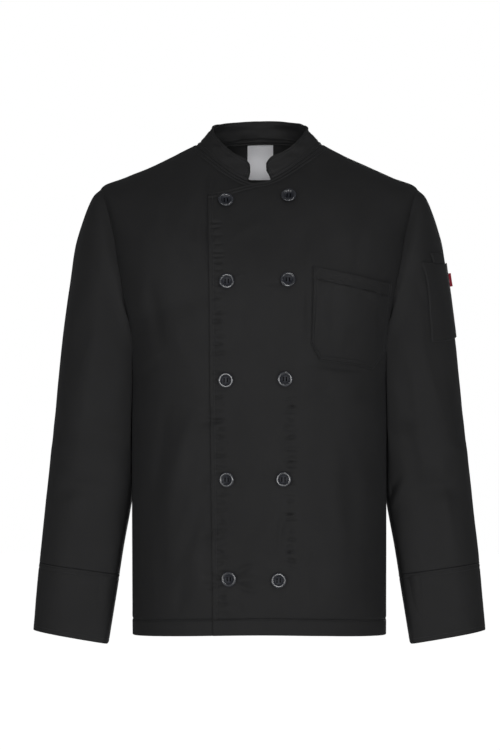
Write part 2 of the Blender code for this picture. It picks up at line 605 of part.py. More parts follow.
def sleeve_patch(sizes, rows, columns, lift):
    """A net on the left sleeve, moved out from it."""
    front_deg, back_deg, top, top_dip, foot, foot_dip = sizes
    turn = np.radians(np.linspace(front_deg, back_deg, columns + 1))[None, :]
    dip = (1 - np.cos(turn)) ** DIP_POWER
    share = np.linspace(0, 1, rows + 1)[:, None]
    along = (foot - foot_dip * dip) * (1 - share) + (top - top_dip * dip) * share
    points, normals = sleeve_with_normals(*np.broadcast_arrays(turn, along))
    return points + normals * lift, normals


def make_sleeve_pocket(cloth, tab_red):
    lift = LAY_GAP + PATCH_CLOTH
    for name, sizes, rows, columns in (
        ("sleeve_pocket", SLEEVE_POCKET, 8, 8), ("pen_band", PEN_BAND, 2, 4),
    ):
        points, normals = sleeve_patch(sizes, rows, columns, lift)
        add_piece(name, cloth_wall(name, points, normals, PATCH_CLOTH), cloth)
    along = np.linspace(SIDE_TAB_FROM, SIDE_TAB_TO, 3)
    points, normals = sleeve_with_normals(np.full(along.shape, SIDE_TAB_PLACE), along)
    reach = (LAY_GAP + np.linspace(0.0, SIDE_TAB_REACH, 3))[:, None, None]
    outer = points + normals * reach
    facing = unit(np.cross(np.gradient(outer, axis=1), np.gradient(outer, axis=0)))
    facing = facing * -np.sign(facing[..., 1:2])
    add_piece("side_tab", cloth_wall("side_tab", outer, facing, PATCH_CLOTH), tab_red)


def make_neck_label(material):
    """A plain label inside the back of the neck."""
    levels = np.linspace(LABEL_FOOT_LEVEL, LABEL_TOP_LEVEL, 7)
    x = LABEL_MIDDLE_X + LABEL_WIDTH * np.linspace(-0.5, 0.5, 5)
    depth = smooth(TRUNK, "level", "back_depth", levels)
    angle = np.arctan2(depth[:, None], x[None, :])
    points, normals = with_normals(trunk, angle, np.broadcast_to(levels[:, None], angle.shape))
    gap = np.concatenate([np.full(len(levels) - 1, LABEL_GAP), [LABEL_TOP_GAP]])
    points = points - normals * (CLOTH + gap)[:, None, None]
    add_piece("neck_label", cloth_wall("neck_label", points, normals, PATCH_CLOTH), material)


def button_mesh():
    """A turned button with a raised rim round a dish, its back at 0."""
    mesh = bpy.data.meshes.new("button")
    points = [(out * BUTTON_RADIUS, 0.0, up * BUTTON_THICKNESS) for out, up in BUTTON_PROFILE]
    mesh.from_pydata(points, [(i, i + 1) for i in range(len(points) - 1)], [])
    return mesh


def make_buttons(material):
    mesh = button_mesh()
    mesh.materials.append(material)
    number = 0
    for closing_x, closing_z, other_x, other_z in BUTTON_ROWS:
        for x, z in ((closing_x, closing_z), (other_x, other_z)):
            number += 1
            angle, level = find_on_front([x], [z])
            points, normals = with_normals(trunk, angle, level)
            seat = points + normals * (overlap_lift(points)[..., None] + BUTTON_GAP)
            button = bpy.data.objects.new(f"button_{number}", mesh)
            facing = Vector(normals[0]).to_track_quat("Z", "Y").to_matrix().to_4x4()
            button.matrix_world = Matrix.Translation(Vector(seat[0])) @ facing
            turned = button.modifiers.new("turned", "SCREW")
            turned.steps = turned.render_steps = BUTTON_STEPS
            turned.use_merge_vertices = True
            turned.merge_threshold = 0.00001
            jacket.objects.link(button)


for old in list(bpy.data.objects):
    bpy.data.objects.remove(old, do_unlink=True)
jacket = bpy.data.collections.new("chef_jacket")
bpy.context.scene.collection.children.link(jacket)

twill = add_material("charcoal_twill", CHARCOAL, 0.85)
make_fronts(twill)
make_back(twill)
make_sleeves(twill)
make_collar(twill)
make_chest_pocket(twill)
make_sleeve_pocket(twill, add_material("red_tape", TAB_RED, 0.7))
make_neck_label(add_material("label_satin", LABEL_SILVER, 0.45))
make_buttons(add_material("button_resin", BUTTON_NAVY, 0.25))
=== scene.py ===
# %% [markdown]
# # A chef jacket in charcoal twill
# The jacket stands in the air as if someone wore it. Its frame is a set of plain solids, one for
# each piece that a tailor would cut. In this lesson every solid gets its cloth: thin panels with
# creases and seams, rows of stitches, sewn buttons, a satin label and a tab of red tape.

# %% Load the frame
import json
import math
import random

import bpy
import numpy as np
from mathutils import Matrix, Vector
from mathutils.kdtree import KDTree

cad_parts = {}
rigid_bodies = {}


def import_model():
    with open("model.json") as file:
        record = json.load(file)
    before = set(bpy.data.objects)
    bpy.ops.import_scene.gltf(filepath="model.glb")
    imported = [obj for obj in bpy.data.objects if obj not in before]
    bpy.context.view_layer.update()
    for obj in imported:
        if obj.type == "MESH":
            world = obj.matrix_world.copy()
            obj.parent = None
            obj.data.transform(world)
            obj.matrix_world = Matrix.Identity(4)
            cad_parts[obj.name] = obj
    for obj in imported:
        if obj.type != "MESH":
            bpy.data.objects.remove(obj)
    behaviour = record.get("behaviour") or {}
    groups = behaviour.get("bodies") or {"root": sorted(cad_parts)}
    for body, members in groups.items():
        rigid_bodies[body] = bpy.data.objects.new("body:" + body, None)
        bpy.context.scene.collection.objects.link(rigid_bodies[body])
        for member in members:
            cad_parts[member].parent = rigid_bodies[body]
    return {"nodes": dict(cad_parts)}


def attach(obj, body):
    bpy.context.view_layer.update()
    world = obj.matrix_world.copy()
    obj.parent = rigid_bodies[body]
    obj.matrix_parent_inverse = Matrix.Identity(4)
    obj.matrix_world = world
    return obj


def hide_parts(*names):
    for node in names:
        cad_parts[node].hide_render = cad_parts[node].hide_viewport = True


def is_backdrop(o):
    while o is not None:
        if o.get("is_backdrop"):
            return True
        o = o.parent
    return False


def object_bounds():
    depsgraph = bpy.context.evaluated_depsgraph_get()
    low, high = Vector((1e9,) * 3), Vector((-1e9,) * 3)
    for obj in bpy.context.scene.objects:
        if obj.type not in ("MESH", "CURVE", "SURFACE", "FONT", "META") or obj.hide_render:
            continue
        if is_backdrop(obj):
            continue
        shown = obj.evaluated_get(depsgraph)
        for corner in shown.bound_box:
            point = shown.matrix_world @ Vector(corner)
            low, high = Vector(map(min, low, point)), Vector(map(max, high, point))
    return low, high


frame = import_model()
solid_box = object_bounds()
print(len(frame["nodes"]), "solids, from", solid_box[0][:], "to", solid_box[1][:])

# %% [markdown]
# ## The forms under the cloth
# A worn jacket has two forms: the trunk, a stack of rounded loops from hem to neck, and the
# sleeve, a tube of slanted ovals. Both could be sculpted, but a short table of sizes for a few
# loops, with a smooth curve through each column, is easier to read and to change. Most are the
# sizes of the solids, so the cloth lies close to where they are. At the sleeves' inner side it
# hangs nearer the trunk, by up to 13 mm at the corners to its front and back, and a few small
# sizes differ as well.

# %% The trunk's and the sleeve's sizes
TRUNK_COLUMNS = (
    "level", "half_width", "eased_width", "side_z", "eased_z", "front_depth", "front_z",
    "back_depth", "back_z", "boxiness",
)
TRUNK_LOOPS = (
    (0.000, 0.1835, 0.1835, -0.700, -0.700, 0.1400, -0.694, 0.119, -0.699, 2.50),
    (0.100, 0.1840, 0.1840, -0.600, -0.600, 0.1410, -0.596, 0.117, -0.600, 2.50),
    (0.200, 0.1845, 0.1845, -0.500, -0.500, 0.1400, -0.498, 0.114, -0.500, 2.50),
    (0.300, 0.1845, 0.1845, -0.400, -0.400, 0.1400, -0.399, 0.113, -0.400, 2.50),
    (0.385, 0.1848, 0.1850, -0.315, -0.315, 0.1415, -0.315, 0.115, -0.315, 2.55),
    (0.410, 0.1870, 0.1880, -0.290, -0.290, 0.1420, -0.290, 0.117, -0.290, 2.60),
    (0.440, 0.1910, 0.1910, -0.261, -0.261, 0.1415, -0.262, 0.119, -0.262, 2.70),
    (0.502, 0.2065, 0.2035, -0.199, -0.199, 0.1390, -0.212, 0.120, -0.208, 2.75),
    (0.541, 0.2160, 0.2095, -0.160, -0.161, 0.1355, -0.187, 0.119, -0.178, 2.70),
    (0.581, 0.2220, 0.2095, -0.120, -0.126, 0.1300, -0.166, 0.117, -0.150, 2.60),
    (0.616, 0.2285, 0.2065, -0.085, -0.098, 0.1240, -0.149, 0.114, -0.125, 2.50),
    (0.644, 0.2305, 0.1990, -0.057, -0.078, 0.1180, -0.135, 0.110, -0.104, 2.40),
    (0.685, 0.1925, 0.1830, -0.038, -0.052, 0.1070, -0.110, 0.101, -0.069, 2.30),
    (0.722, 0.1560, 0.1570, -0.0225, -0.0300, 0.0940, -0.086, 0.090, -0.037, 2.20),
    (0.757, 0.1250, 0.1275, -0.0087, -0.0110, 0.0800, -0.066, 0.077, -0.009, 2.10),
    (0.792, 0.0925, 0.0925, 0.0080, 0.0080, 0.0660, -0.050, 0.062, 0.0150, 2.00),
)
# Each fold: place in degrees, level, half_length, half_width, lean_deg, height.
TRUNK_FOLDS = (
    (-128.0, 0.25, 0.300, 0.030, 4.0, 0.0030),
    (-150.0, 0.15, 0.240, 0.026, -3.0, -0.0030),
    (-48.0, 0.17, 0.240, 0.028, 3.0, 0.0030),
    (-28.0, 0.12, 0.200, 0.024, -4.0, -0.0026),
    (-140.0, 0.47, 0.100, 0.020, 62.0, -0.0030),
    (-36.0, 0.38, 0.080, 0.022, -58.0, -0.0030),
    (45.0, 0.20, 0.300, 0.030, 4.0, 0.0040),
    (68.0, 0.14, 0.260, 0.026, -2.0, -0.0040),
    (96.0, 0.18, 0.320, 0.030, 1.0, 0.0036),
    (121.0, 0.13, 0.260, 0.026, 3.0, -0.0040),
    (140.0, 0.22, 0.300, 0.030, -4.0, 0.0040),
    (32.0, 0.47, 0.110, 0.020, 55.0, -0.0036),
    (149.0, 0.46, 0.110, 0.020, -55.0, -0.0036),
)
SLEEVE_COLUMNS = (
    "along", "outer_x", "outer_z", "inner_x", "inner_z", "front_depth", "back_depth", "middle_y",
)
SLEEVE_LOOPS = (
    (0.00, 0.2305, -0.0570, 0.1870, -0.2900, 0.063, 0.066, 0.000),
    (0.05, 0.2410, -0.0665, 0.1864, -0.2925, 0.066, 0.067, 0.001),
    (0.10, 0.2500, -0.0850, 0.1852, -0.2960, 0.068, 0.069, 0.004),
    (0.15, 0.2585, -0.1100, 0.1842, -0.3020, 0.070, 0.072, 0.009),
    (0.20, 0.2670, -0.1400, 0.1832, -0.3100, 0.071, 0.073, 0.015),
    (0.26, 0.2732, -0.1800, 0.1815, -0.3235, 0.071, 0.074, 0.022),
    (0.33, 0.2808, -0.2300, 0.1790, -0.3450, 0.070, 0.072, 0.029),
    (0.40, 0.2875, -0.2820, 0.1765, -0.3740, 0.068, 0.070, 0.034),
    (0.48, 0.2938, -0.3400, 0.1755, -0.4130, 0.065, 0.067, 0.036),
    (0.57, 0.3000, -0.4050, 0.1790, -0.4640, 0.061, 0.063, 0.036),
    (0.67, 0.3080, -0.4780, 0.1880, -0.5230, 0.056, 0.058, 0.034),
    (0.77, 0.3147, -0.5450, 0.1978, -0.5770, 0.051, 0.053, 0.030),
    (0.84, 0.3200, -0.5985, 0.2036, -0.6146, 0.047, 0.049, 0.027),
    (1.00, 0.3290, -0.6955, 0.2197, -0.7145, 0.040, 0.042, 0.022),
)
SLEEVE_FOLDS = (
    (-75.0, 0.66, 0.055, 0.014, 62.0, -0.0045),
    (-40.0, 0.60, 0.050, 0.013, 70.0, 0.0035),
    (-100.0, 0.52, 0.050, 0.016, 55.0, -0.0040),
    (-60.0, 0.36, 0.090, 0.018, 20.0, -0.0030),
    (70.0, 0.62, 0.055, 0.014, -64.0, -0.0045),
    (35.0, 0.55, 0.050, 0.014, -70.0, 0.0035),
    (95.0, 0.70, 0.050, 0.013, -60.0, -0.0040),
    (60.0, 0.32, 0.090, 0.018, -18.0, -0.0034),
)
SEAM_GAP = 0.0003
CAP_GAP = -0.0013  # a sleeve is sewn against the edge of its armhole, so no light passes
OVERLAP_LIFT, LIFT_FROM, LIFT_OVER = 0.0028, 0.105, 0.040
SHOULDER_ROUNDING, EASE_BY = 1.6, 0.50
UNDERARM_LEVEL, SHOULDER_LEVEL, NECK_LEVEL = 0.410, 0.644, 0.792
ARMHOLE_FRONT, ARMHOLE_BACK, ARMHOLE_SKEW = math.radians(15.0), math.radians(18.5), 0.45
SEAM_AT_ARM, SEAM_AT_NECK = math.radians(-3.5), math.radians(-10.0)
TRUNK_RADIUS, FRONT_RADIUS, SIDE_RADIUS = 0.15, 0.16, 0.20
SLEEVE_BOXINESS, INNER_FULLNESS, SLEEVE_LENGTH, SLEEVE_RADIUS = 2.15, 4.0, 0.66, 0.062
SLEEVE_CLEARANCE, CAP_ENDS, FOLDS_OVER = 0.0008, 0.20, 0.15
PRESS_OVER, PRESS_RUN, PRESS_SOFTNESS = 0.03, 0.004, 0.002
CUFF_AT = 0.84


def read_table(names, rows):
    return dict(zip(names, np.array(rows, float).T))


TRUNK = read_table(TRUNK_COLUMNS, TRUNK_LOOPS)
SLEEVE = read_table(SLEEVE_COLUMNS, SLEEVE_LOOPS)
HEM_SIDE_Z, HEM_FRONT_Z = TRUNK["side_z"][0], TRUNK["front_z"][0]
print("trunk loops:", len(TRUNK_LOOPS), " sleeve loops:", len(SLEEVE_LOOPS))

# %% [markdown]
# ## Reading a surface anywhere
# A cubic through each column gives the loop at any height. With that, `plain_trunk` and
# `sleeve_form` turn two numbers, a turn round the body and a place along it, into a point.
# Everything on the jacket, from a panel to a single stitch, asks these two functions where it
# lies.

# %% Curves through the tables
def smooth(table, over, name, at):
    """A cubic through a column; past its ends it goes straight on."""
    places, values = table[over], table[name]
    slopes = np.gradient(values, places)
    beyond = at - np.clip(at, places[0], places[-1])
    at = at - beyond
    i = np.clip(np.searchsorted(places, at, side="right") - 1, 0, len(places) - 2)
    run = places[i + 1] - places[i]
    t = (at - places[i]) / run
    ease = t * t * (3 - 2 * t)
    turn = t * (1 - t) ** 2 * slopes[i] - t * t * (1 - t) * slopes[i + 1]
    curve = values[i] + ease * (values[i + 1] - values[i]) + run * turn
    return curve + beyond * np.where(beyond < 0, slopes[0], slopes[-1])


def smoothstep(share):
    share = np.clip(share, 0.0, 1.0)
    return share * share * (3 - 2 * share)


def unit(vectors):
    return vectors / np.maximum(np.linalg.norm(vectors, axis=-1, keepdims=True), 1e-12)


def with_normals(surface, first, second, step=1e-4):
    """Points of a surface of two numbers, and its unit normals there."""
    along_first = surface(first + step, second) - surface(first - step, second)
    along_second = surface(first, second + step) - surface(first, second - step)
    return surface(first, second), unit(np.cross(along_first, along_second))


# %% The trunk's form
def plain_trunk(angle, level):
    angle, level = np.broadcast_arrays(angle, level)
    at_front = np.sin(angle) < 0
    loop = {name: smooth(TRUNK, "level", name, level) for name in TRUNK_COLUMNS[1:]}
    depth = np.where(at_front, loop["front_depth"], loop["back_depth"])
    middle_z = np.where(at_front, loop["front_z"], loop["back_z"])
    power = loop["boxiness"]
    ease = smoothstep(np.abs(np.sin(angle)) / EASE_BY)
    width = loop["half_width"] + (loop["eased_width"] - loop["half_width"]) * ease
    side_z = loop["side_z"] + (loop["eased_z"] - loop["side_z"]) * ease
    reach = (
        np.abs(np.cos(angle) / width) ** power + np.abs(np.sin(angle) / depth) ** power
    ) ** (-1 / power)
    fall = np.abs(np.sin(angle)) ** SHOULDER_ROUNDING
    z = side_z + (middle_z - side_z) * fall
    return np.stack([reach * np.cos(angle), reach * np.sin(angle), z], axis=-1)


def front_angle(x, level):
    """The angle on the front where a level's loop passes x."""
    angle = np.full(np.shape(level), -math.pi / 2)
    for _ in range(40):
        angle = angle - (plain_trunk(angle, level)[..., 0] - x) / SIDE_RADIUS
    return angle


def armhole(turn, inset=0.0):
    """The armhole on the trunk: angle and level. Turn 0 is the shoulder, pi the underarm."""
    front_reach = ARMHOLE_FRONT * (1 - ARMHOLE_SKEW * np.cos(turn))
    reach = np.where(np.sin(turn) < 0, front_reach, ARMHOLE_BACK) - inset / SIDE_RADIUS
    top = SEAM_AT_ARM * (1 + np.cos(turn)) / 2
    middle = (UNDERARM_LEVEL + SHOULDER_LEVEL) / 2
    half = (SHOULDER_LEVEL - UNDERARM_LEVEL) / 2 - inset
    return top + reach * np.sin(turn), middle + half * np.cos(turn)


# %% The sleeve's form
def trunk_side(y, z):
    level = np.clip(z - HEM_SIDE_Z, 0.0, UNDERARM_LEVEL)
    depth = np.where(y < 0, smooth(TRUNK, "level", "front_depth", level),
                     smooth(TRUNK, "level", "back_depth", level))
    power = smooth(TRUNK, "level", "boxiness", level)
    share = np.clip(np.abs(y) / depth, 0.0, 1.0)
    return smooth(TRUNK, "level", "half_width", level) * (1 - share**power) ** (1 / power)


CORNER_TURN, CORNER_REACH, CORNER_FULLNESS, CORNER_FROM, CORNER_TO = 138.0, 24.0, 0.0080, 0.05, 0.50


def sleeve_loop(turn, along):
    loop = {name: smooth(SLEEVE, "along", name, along) for name in SLEEVE_COLUMNS[1:]}
    c, s = np.cos(turn), np.sin(turn)
    power = 2 / (SLEEVE_BOXINESS + INNER_FULLNESS * ((1 - c) / 2) ** 3)
    out, aside = np.sign(c) * np.abs(c) ** power, np.sign(s) * np.abs(s) ** power
    depth = np.where(s < 0, loop["front_depth"], loop["back_depth"])
    x = (loop["outer_x"] + loop["inner_x"]) / 2 + out * (loop["outer_x"] - loop["inner_x"]) / 2
    z = (loop["outer_z"] + loop["inner_z"]) / 2 + out * (loop["outer_z"] - loop["inner_z"]) / 2
    return np.stack([x, loop["middle_y"] + aside * depth, z], axis=-1)


def sleeve_form(turn, along):
    """The left sleeve: it leaves the armhole's edge and hangs beside the trunk."""
    turn, along = np.broadcast_arrays(turn, along)
    points = sleeve_loop(turn, along)
    seam = plain_trunk(*armhole(turn, CAP_GAP)) - sleeve_loop(turn, np.zeros(along.shape))
    points = points + seam * ((1 - np.clip(along / CAP_ENDS, 0, 1)) ** 2)[..., None]
    # The cloth is fuller before and behind its inner side, and lies against the trunk there.
    corner = np.exp(-(((np.abs(np.degrees(turn)) - CORNER_TURN) / CORNER_REACH) ** 2))
    corner = corner * smoothstep(along / CORNER_FROM)
    corner = corner * smoothstep((CORNER_TO - along) / CORNER_FROM)
    points[..., 0] -= CORNER_FULLNESS * corner
    floor = trunk_side(points[..., 1], points[..., 2]) + SLEEVE_CLEARANCE
    over = points[..., 0] - floor
    pressed = floor + (over + np.sqrt(over**2 + PRESS_SOFTNESS**2)) / 2
    below = HEM_SIDE_Z + UNDERARM_LEVEL - points[..., 2]
    press = smoothstep(along / PRESS_OVER) * smoothstep(below / PRESS_RUN)
    points[..., 0] += (pressed - points[..., 0]) * press
    return points

# %% [markdown]
# ## How the cloth hangs
# Worn cloth is never as smooth as the form beneath it. It has broad soft folds, creases where it
# is pulled, and a slight unevenness all over. A cloth simulation could find some of them, but
# these folds are wanted in known places, so each one is a line of a table: a soft trough or ridge
# with a size of its own. A little smooth noise adds the rest.

# %% Folds, creases and slack
def fold_height(folds, place, along, radius, length):
    """The broad folds of the solids, placed by the angle round a form and the way along it."""
    height = np.zeros(np.broadcast(place, along).shape)
    for fold_place, level, half_length, half_width, lean_deg, peak in folds:
        aside = (place - math.radians(fold_place) + math.pi) % (2 * math.pi) - math.pi
        across, up = aside * radius, (along - level) * length
        lean = math.radians(lean_deg)
        along_fold = up * math.cos(lean) + across * math.sin(lean)
        from_fold = across * math.cos(lean) - up * math.sin(lean)
        fade = np.cos(np.clip(along_fold / half_length, -1, 1) * math.pi / 2) ** 2
        height = height + peak * fade * np.exp(-((from_fold / half_width) ** 2))
    return height


def crease_height(creases, x, z):
    """Finer creases, placed by x and z, that lean from upright and bow by `bow` at their ends."""
    height = np.zeros(np.shape(x))
    for middle_x, middle_z, half_length, half_width, lean_deg, bow, peak in creases:
        near = half_length + 3 * half_width
        if np.all((np.abs(x - middle_x) > near) | (np.abs(z - middle_z) > near)):
            continue
        lean = math.radians(lean_deg)
        right, up = x - middle_x, z - middle_z
        share = (up * math.cos(lean) + right * math.sin(lean)) / half_length
        across = right * math.cos(lean) - up * math.sin(lean) - bow * share**2
        fade = np.cos(np.clip(share, -1, 1) * math.pi / 2) ** 2
        width = half_width * (0.5 + 0.5 * fade)
        height = height + peak * fade * np.exp(-((across / width) ** 2))
    return height


def wander(points, size, seed):
    """Smooth noise from -1 to 1, whose swells are about `size` apart, given as x, y and z."""
    place = points / np.array(size) + seed * 17.3
    cell = np.floor(place).astype(np.int64)
    share = place - cell
    share = share * share * share * (share * (share * 6 - 15) + 10)
    total = np.zeros(points.shape[:-1])
    for dx in (0, 1):
        for dy in (0, 1):
            for dz in (0, 1):
                h = (cell[..., 0] + dx) * 374761393 + (cell[..., 1] + dy) * 668265263
                h = (h + (cell[..., 2] + dz) * 2147483647 + seed * 1274126177) & 0xFFFFFFFF
                h = ((h ^ (h >> 13)) * 1274126177) & 0xFFFFFFFF
                value = ((h ^ (h >> 16)) & 0xFFFF) / 32767.5 - 1
                weight = (
                    (share[..., 0] if dx else 1 - share[..., 0])
                    * (share[..., 1] if dy else 1 - share[..., 1])
                    * (share[..., 2] if dz else 1 - share[..., 2])
                )
                total = total + value * weight
    return total


SLACK = (  # height, how far apart the swells are by x, y and z, seed
    (0.0016, (0.075, 0.075, 0.21), 1),
    (0.0007, (0.034, 0.034, 0.060), 2),
    (0.00022, (0.014, 0.014, 0.019), 3),
)


def slack(points):
    """The slight unevenness of worn cloth: long upright swells, and smaller ones on them."""
    return sum(height * wander(points, size, seed) for height, size, seed in SLACK)


# %% [markdown]
# ### The creases, one by one
# x runs to the wearer's left and z up. A height above 0 is a ridge and below 0 a trough.

# %% Tables of creases
BUTTON_ROWS = (
    (-0.0480, -0.0772, 0.0422, -0.0718),
    (-0.0463, -0.1930, 0.0402, -0.1912),
    (-0.0476, -0.3333, 0.0357, -0.3316),
    (-0.0456, -0.4743, 0.0336, -0.4738),
    (-0.0429, -0.6150, 0.0272, -0.6168),
)
FRONT_CREASES = (
    # x, z, half_length, half_width, lean_deg, bow, height
    # beside the top of the lap
    (-0.0765, -0.050, 0.045, 0.0040, 2.0, 0.002, -0.0022),
    (-0.0660, -0.048, 0.024, 0.0035, 6.0, -0.002, -0.0013),
    (-0.0790, -0.120, 0.070, 0.0045, -1.0, 0.001, -0.0026),
    # pulls across the front edge
    (-0.0720, -0.379, 0.020, 0.0035, 98.0, 0.003, -0.0019),
    (-0.0690, -0.391, 0.026, 0.0040, 92.0, 0.003, -0.0027),
    (-0.0710, -0.403, 0.020, 0.0040, 84.0, -0.002, 0.0017),
    (-0.0740, -0.472, 0.018, 0.0040, 84.0, 0.002, -0.0021),
    (-0.0720, -0.484, 0.014, 0.0035, 97.0, 0.002, 0.0014),
    (-0.0700, -0.550, 0.019, 0.0045, 80.0, 0.003, -0.0022),
    (-0.0680, -0.563, 0.015, 0.0040, 95.0, -0.002, 0.0015),
    (-0.0640, -0.612, 0.026, 0.0040, 99.0, -0.002, -0.0024),
    (-0.0660, -0.624, 0.026, 0.0045, 84.0, 0.002, -0.0024),
    # pulls beside the lowest button
    (-0.0240, -0.602, 0.026, 0.0050, 62.0, 0.004, -0.0026),
    (-0.0180, -0.616, 0.030, 0.0055, 84.0, 0.003, 0.0022),
    (-0.0200, -0.628, 0.026, 0.0050, 112.0, -0.004, -0.0024),
    (-0.0440, -0.640, 0.020, 0.0060, 10.0, 0.003, 0.0014),
    (-0.0300, -0.655, 0.022, 0.0060, -35.0, 0.003, -0.0016),
    # pulls at the other buttons
    (-0.0310, -0.187, 0.016, 0.0045, 70.0, 0.002, 0.0010),
    (0.0230, -0.197, 0.018, 0.0045, 80.0, -0.002, -0.0010),
    (-0.0300, -0.340, 0.018, 0.0045, 104.0, 0.002, -0.0011),
    (0.0520, -0.340, 0.018, 0.0050, 70.0, 0.003, -0.0013),
    (-0.0300, -0.480, 0.018, 0.0045, 82.0, 0.002, -0.0012),
    (0.0180, -0.468, 0.020, 0.0050, 100.0, -0.002, 0.0011),
    (0.0120, -0.622, 0.018, 0.0050, 76.0, 0.002, -0.0012),
    # the middle of the lap
    (-0.0100, -0.545, 0.050, 0.0120, 38.0, 0.006, -0.0022),
    (0.0080, -0.575, 0.040, 0.0100, 55.0, 0.004, 0.0016),
    (0.0300, -0.545, 0.040, 0.0060, 8.0, 0.003, -0.0024),
    (0.0380, -0.420, 0.050, 0.0080, 4.0, 0.004, -0.0013),
    (-0.0150, -0.400, 0.070, 0.0160, -12.0, 0.008, 0.0016),
    (-0.0580, -0.250, 0.018, 0.0040, 96.0, 0.002, -0.0014),
    (-0.0600, -0.296, 0.020, 0.0045, 84.0, -0.002, -0.0016),
    (-0.0260, -0.255, 0.050, 0.0120, 12.0, 0.006, -0.0012),
    (0.0180, -0.300, 0.060, 0.0130, -10.0, 0.006, 0.0013),
    (0.0560, -0.150, 0.050, 0.0110, 20.0, 0.006, -0.0012),
    (-0.0200, -0.120, 0.040, 0.0100, 60.0, 0.005, 0.0012),
    # the wearer's right side
    (-0.1180, -0.460, 0.110, 0.0130, 12.0, 0.010, 0.0026),
    (-0.1420, -0.440, 0.100, 0.0110, 8.0, 0.008, -0.0020),
    (-0.1000, -0.560, 0.070, 0.0120, 20.0, -0.006, -0.0018),
    (-0.1250, -0.250, 0.090, 0.0150, -16.0, 0.010, 0.0018),
    (-0.1500, -0.240, 0.070, 0.0090, -10.0, 0.006, -0.0022),
    (-0.1020, -0.180, 0.080, 0.0130, -24.0, 0.008, -0.0015),
    (-0.1650, -0.500, 0.030, 0.0150, 20.0, 0.004, -0.0022),
    (-0.1560, -0.600, 0.070, 0.0110, -4.0, 0.005, 0.0018),
    (-0.1120, -0.640, 0.045, 0.0100, 6.0, 0.004, -0.0018),
    (-0.0880, -0.600, 0.060, 0.0110, -4.0, 0.005, 0.0014),
    (-0.1700, -0.330, 0.050, 0.0090, 40.0, 0.006, -0.0024),
    (-0.1560, -0.305, 0.046, 0.0090, 52.0, 0.006, 0.0018),
    (-0.0930, -0.100, 0.060, 0.0100, 14.0, 0.005, -0.0014),
    (-0.1300, -0.120, 0.050, 0.0110, -20.0, 0.006, -0.0014),
    # beside and below the chest pocket
    (0.0695, -0.235, 0.066, 0.0045, 1.0, 0.001, -0.0034),
    (0.1120, -0.3155, 0.052, 0.0042, 96.0, 0.001, -0.0026),
    (0.0980, -0.345, 0.050, 0.0120, 66.0, 0.006, -0.0018),
    (0.1550, -0.352, 0.034, 0.0110, 72.0, 0.005, -0.0032),
    (0.1720, -0.395, 0.060, 0.0070, -5.0, 0.003, 0.0024),
    (0.1040, -0.480, 0.110, 0.0140, -6.0, 0.010, 0.0016),
    (0.1300, -0.500, 0.120, 0.0120, -3.0, -0.008, -0.0020),
    (0.1560, -0.520, 0.100, 0.0110, -4.0, 0.006, 0.0018),
    (0.0820, -0.610, 0.060, 0.0120, 5.0, 0.005, -0.0016),
    (0.1050, -0.110, 0.070, 0.0140, 22.0, 0.008, 0.0014),
    (0.1440, -0.140, 0.060, 0.0090, 14.0, 0.006, -0.0020),
)
BACK_CREASES = (
    (0.000, -0.125, 0.100, 0.016, 90.0, 0.012, -0.0020),
    (0.010, -0.165, 0.075, 0.011, 87.0, 0.010, 0.0016),
    (0.110, -0.215, 0.080, 0.011, 52.0, 0.010, -0.0028),
    (0.090, -0.250, 0.085, 0.012, 47.0, 0.012, 0.0024),
    (-0.118, -0.225, 0.075, 0.010, -55.0, -0.010, -0.0026),
    (-0.088, -0.262, 0.090, 0.012, -44.0, -0.012, 0.0022),
    (0.060, -0.430, 0.130, 0.013, 4.0, 0.010, 0.0026),
    (0.094, -0.470, 0.140, 0.014, 2.0, 0.008, -0.0028),
    (0.132, -0.520, 0.120, 0.012, 5.0, -0.006, 0.0022),
    (-0.066, -0.400, 0.120, 0.013, -5.0, -0.010, 0.0024),
    (-0.102, -0.480, 0.150, 0.014, -2.0, -0.006, -0.0028),
    (-0.140, -0.540, 0.110, 0.012, -4.0, 0.006, 0.0020),
    (0.004, -0.520, 0.140, 0.015, 1.0, 0.010, -0.0022),
    (-0.030, -0.600, 0.080, 0.012, 3.0, 0.006, 0.0018),
    (0.034, -0.340, 0.060, 0.010, 62.0, 0.008, -0.0016),
)
SLEEVE_FRONT_CREASES = (
    (0.1830, -0.505, 0.055, 0.0070, 28.0, 0.004, -0.0034),
    (0.1980, -0.500, 0.050, 0.0080, 34.0, 0.004, 0.0022),
    (0.2060, -0.330, 0.080, 0.0110, -10.0, 0.006, -0.0024),
    (0.2320, -0.400, 0.110, 0.0120, -9.0, 0.008, 0.0022),
    (0.2180, -0.440, 0.090, 0.0100, -12.0, 0.006, -0.0020),
    (0.2520, -0.300, 0.090, 0.0100, -14.0, 0.006, -0.0016),
    (0.2350, -0.215, 0.050, 0.0080, -28.0, 0.005, -0.0016),
    (0.2500, -0.560, 0.050, 0.0090, -18.0, 0.005, -0.0018),
    (0.2720, -0.520, 0.070, 0.0100, -8.0, 0.004, 0.0016),
    (0.2450, -0.590, 0.020, 0.0070, -60.0, 0.003, -0.0014),
)
SLEEVE_BACK_CREASES = (
    (0.2150, -0.360, 0.060, 0.0090, 58.0, 0.008, -0.0030),
    (0.2300, -0.385, 0.055, 0.0090, 66.0, 0.008, 0.0024),
    (0.2200, -0.430, 0.050, 0.0080, 72.0, 0.006, -0.0028),
    (0.2400, -0.465, 0.060, 0.0090, 60.0, -0.006, 0.0020),
    (0.2500, -0.200, 0.080, 0.0110, -12.0, 0.008, 0.0022),
    (0.2100, -0.240, 0.070, 0.0100, -20.0, 0.006, -0.0024),
    (0.2600, -0.540, 0.060, 0.0090, -10.0, 0.006, -0.0020),
)
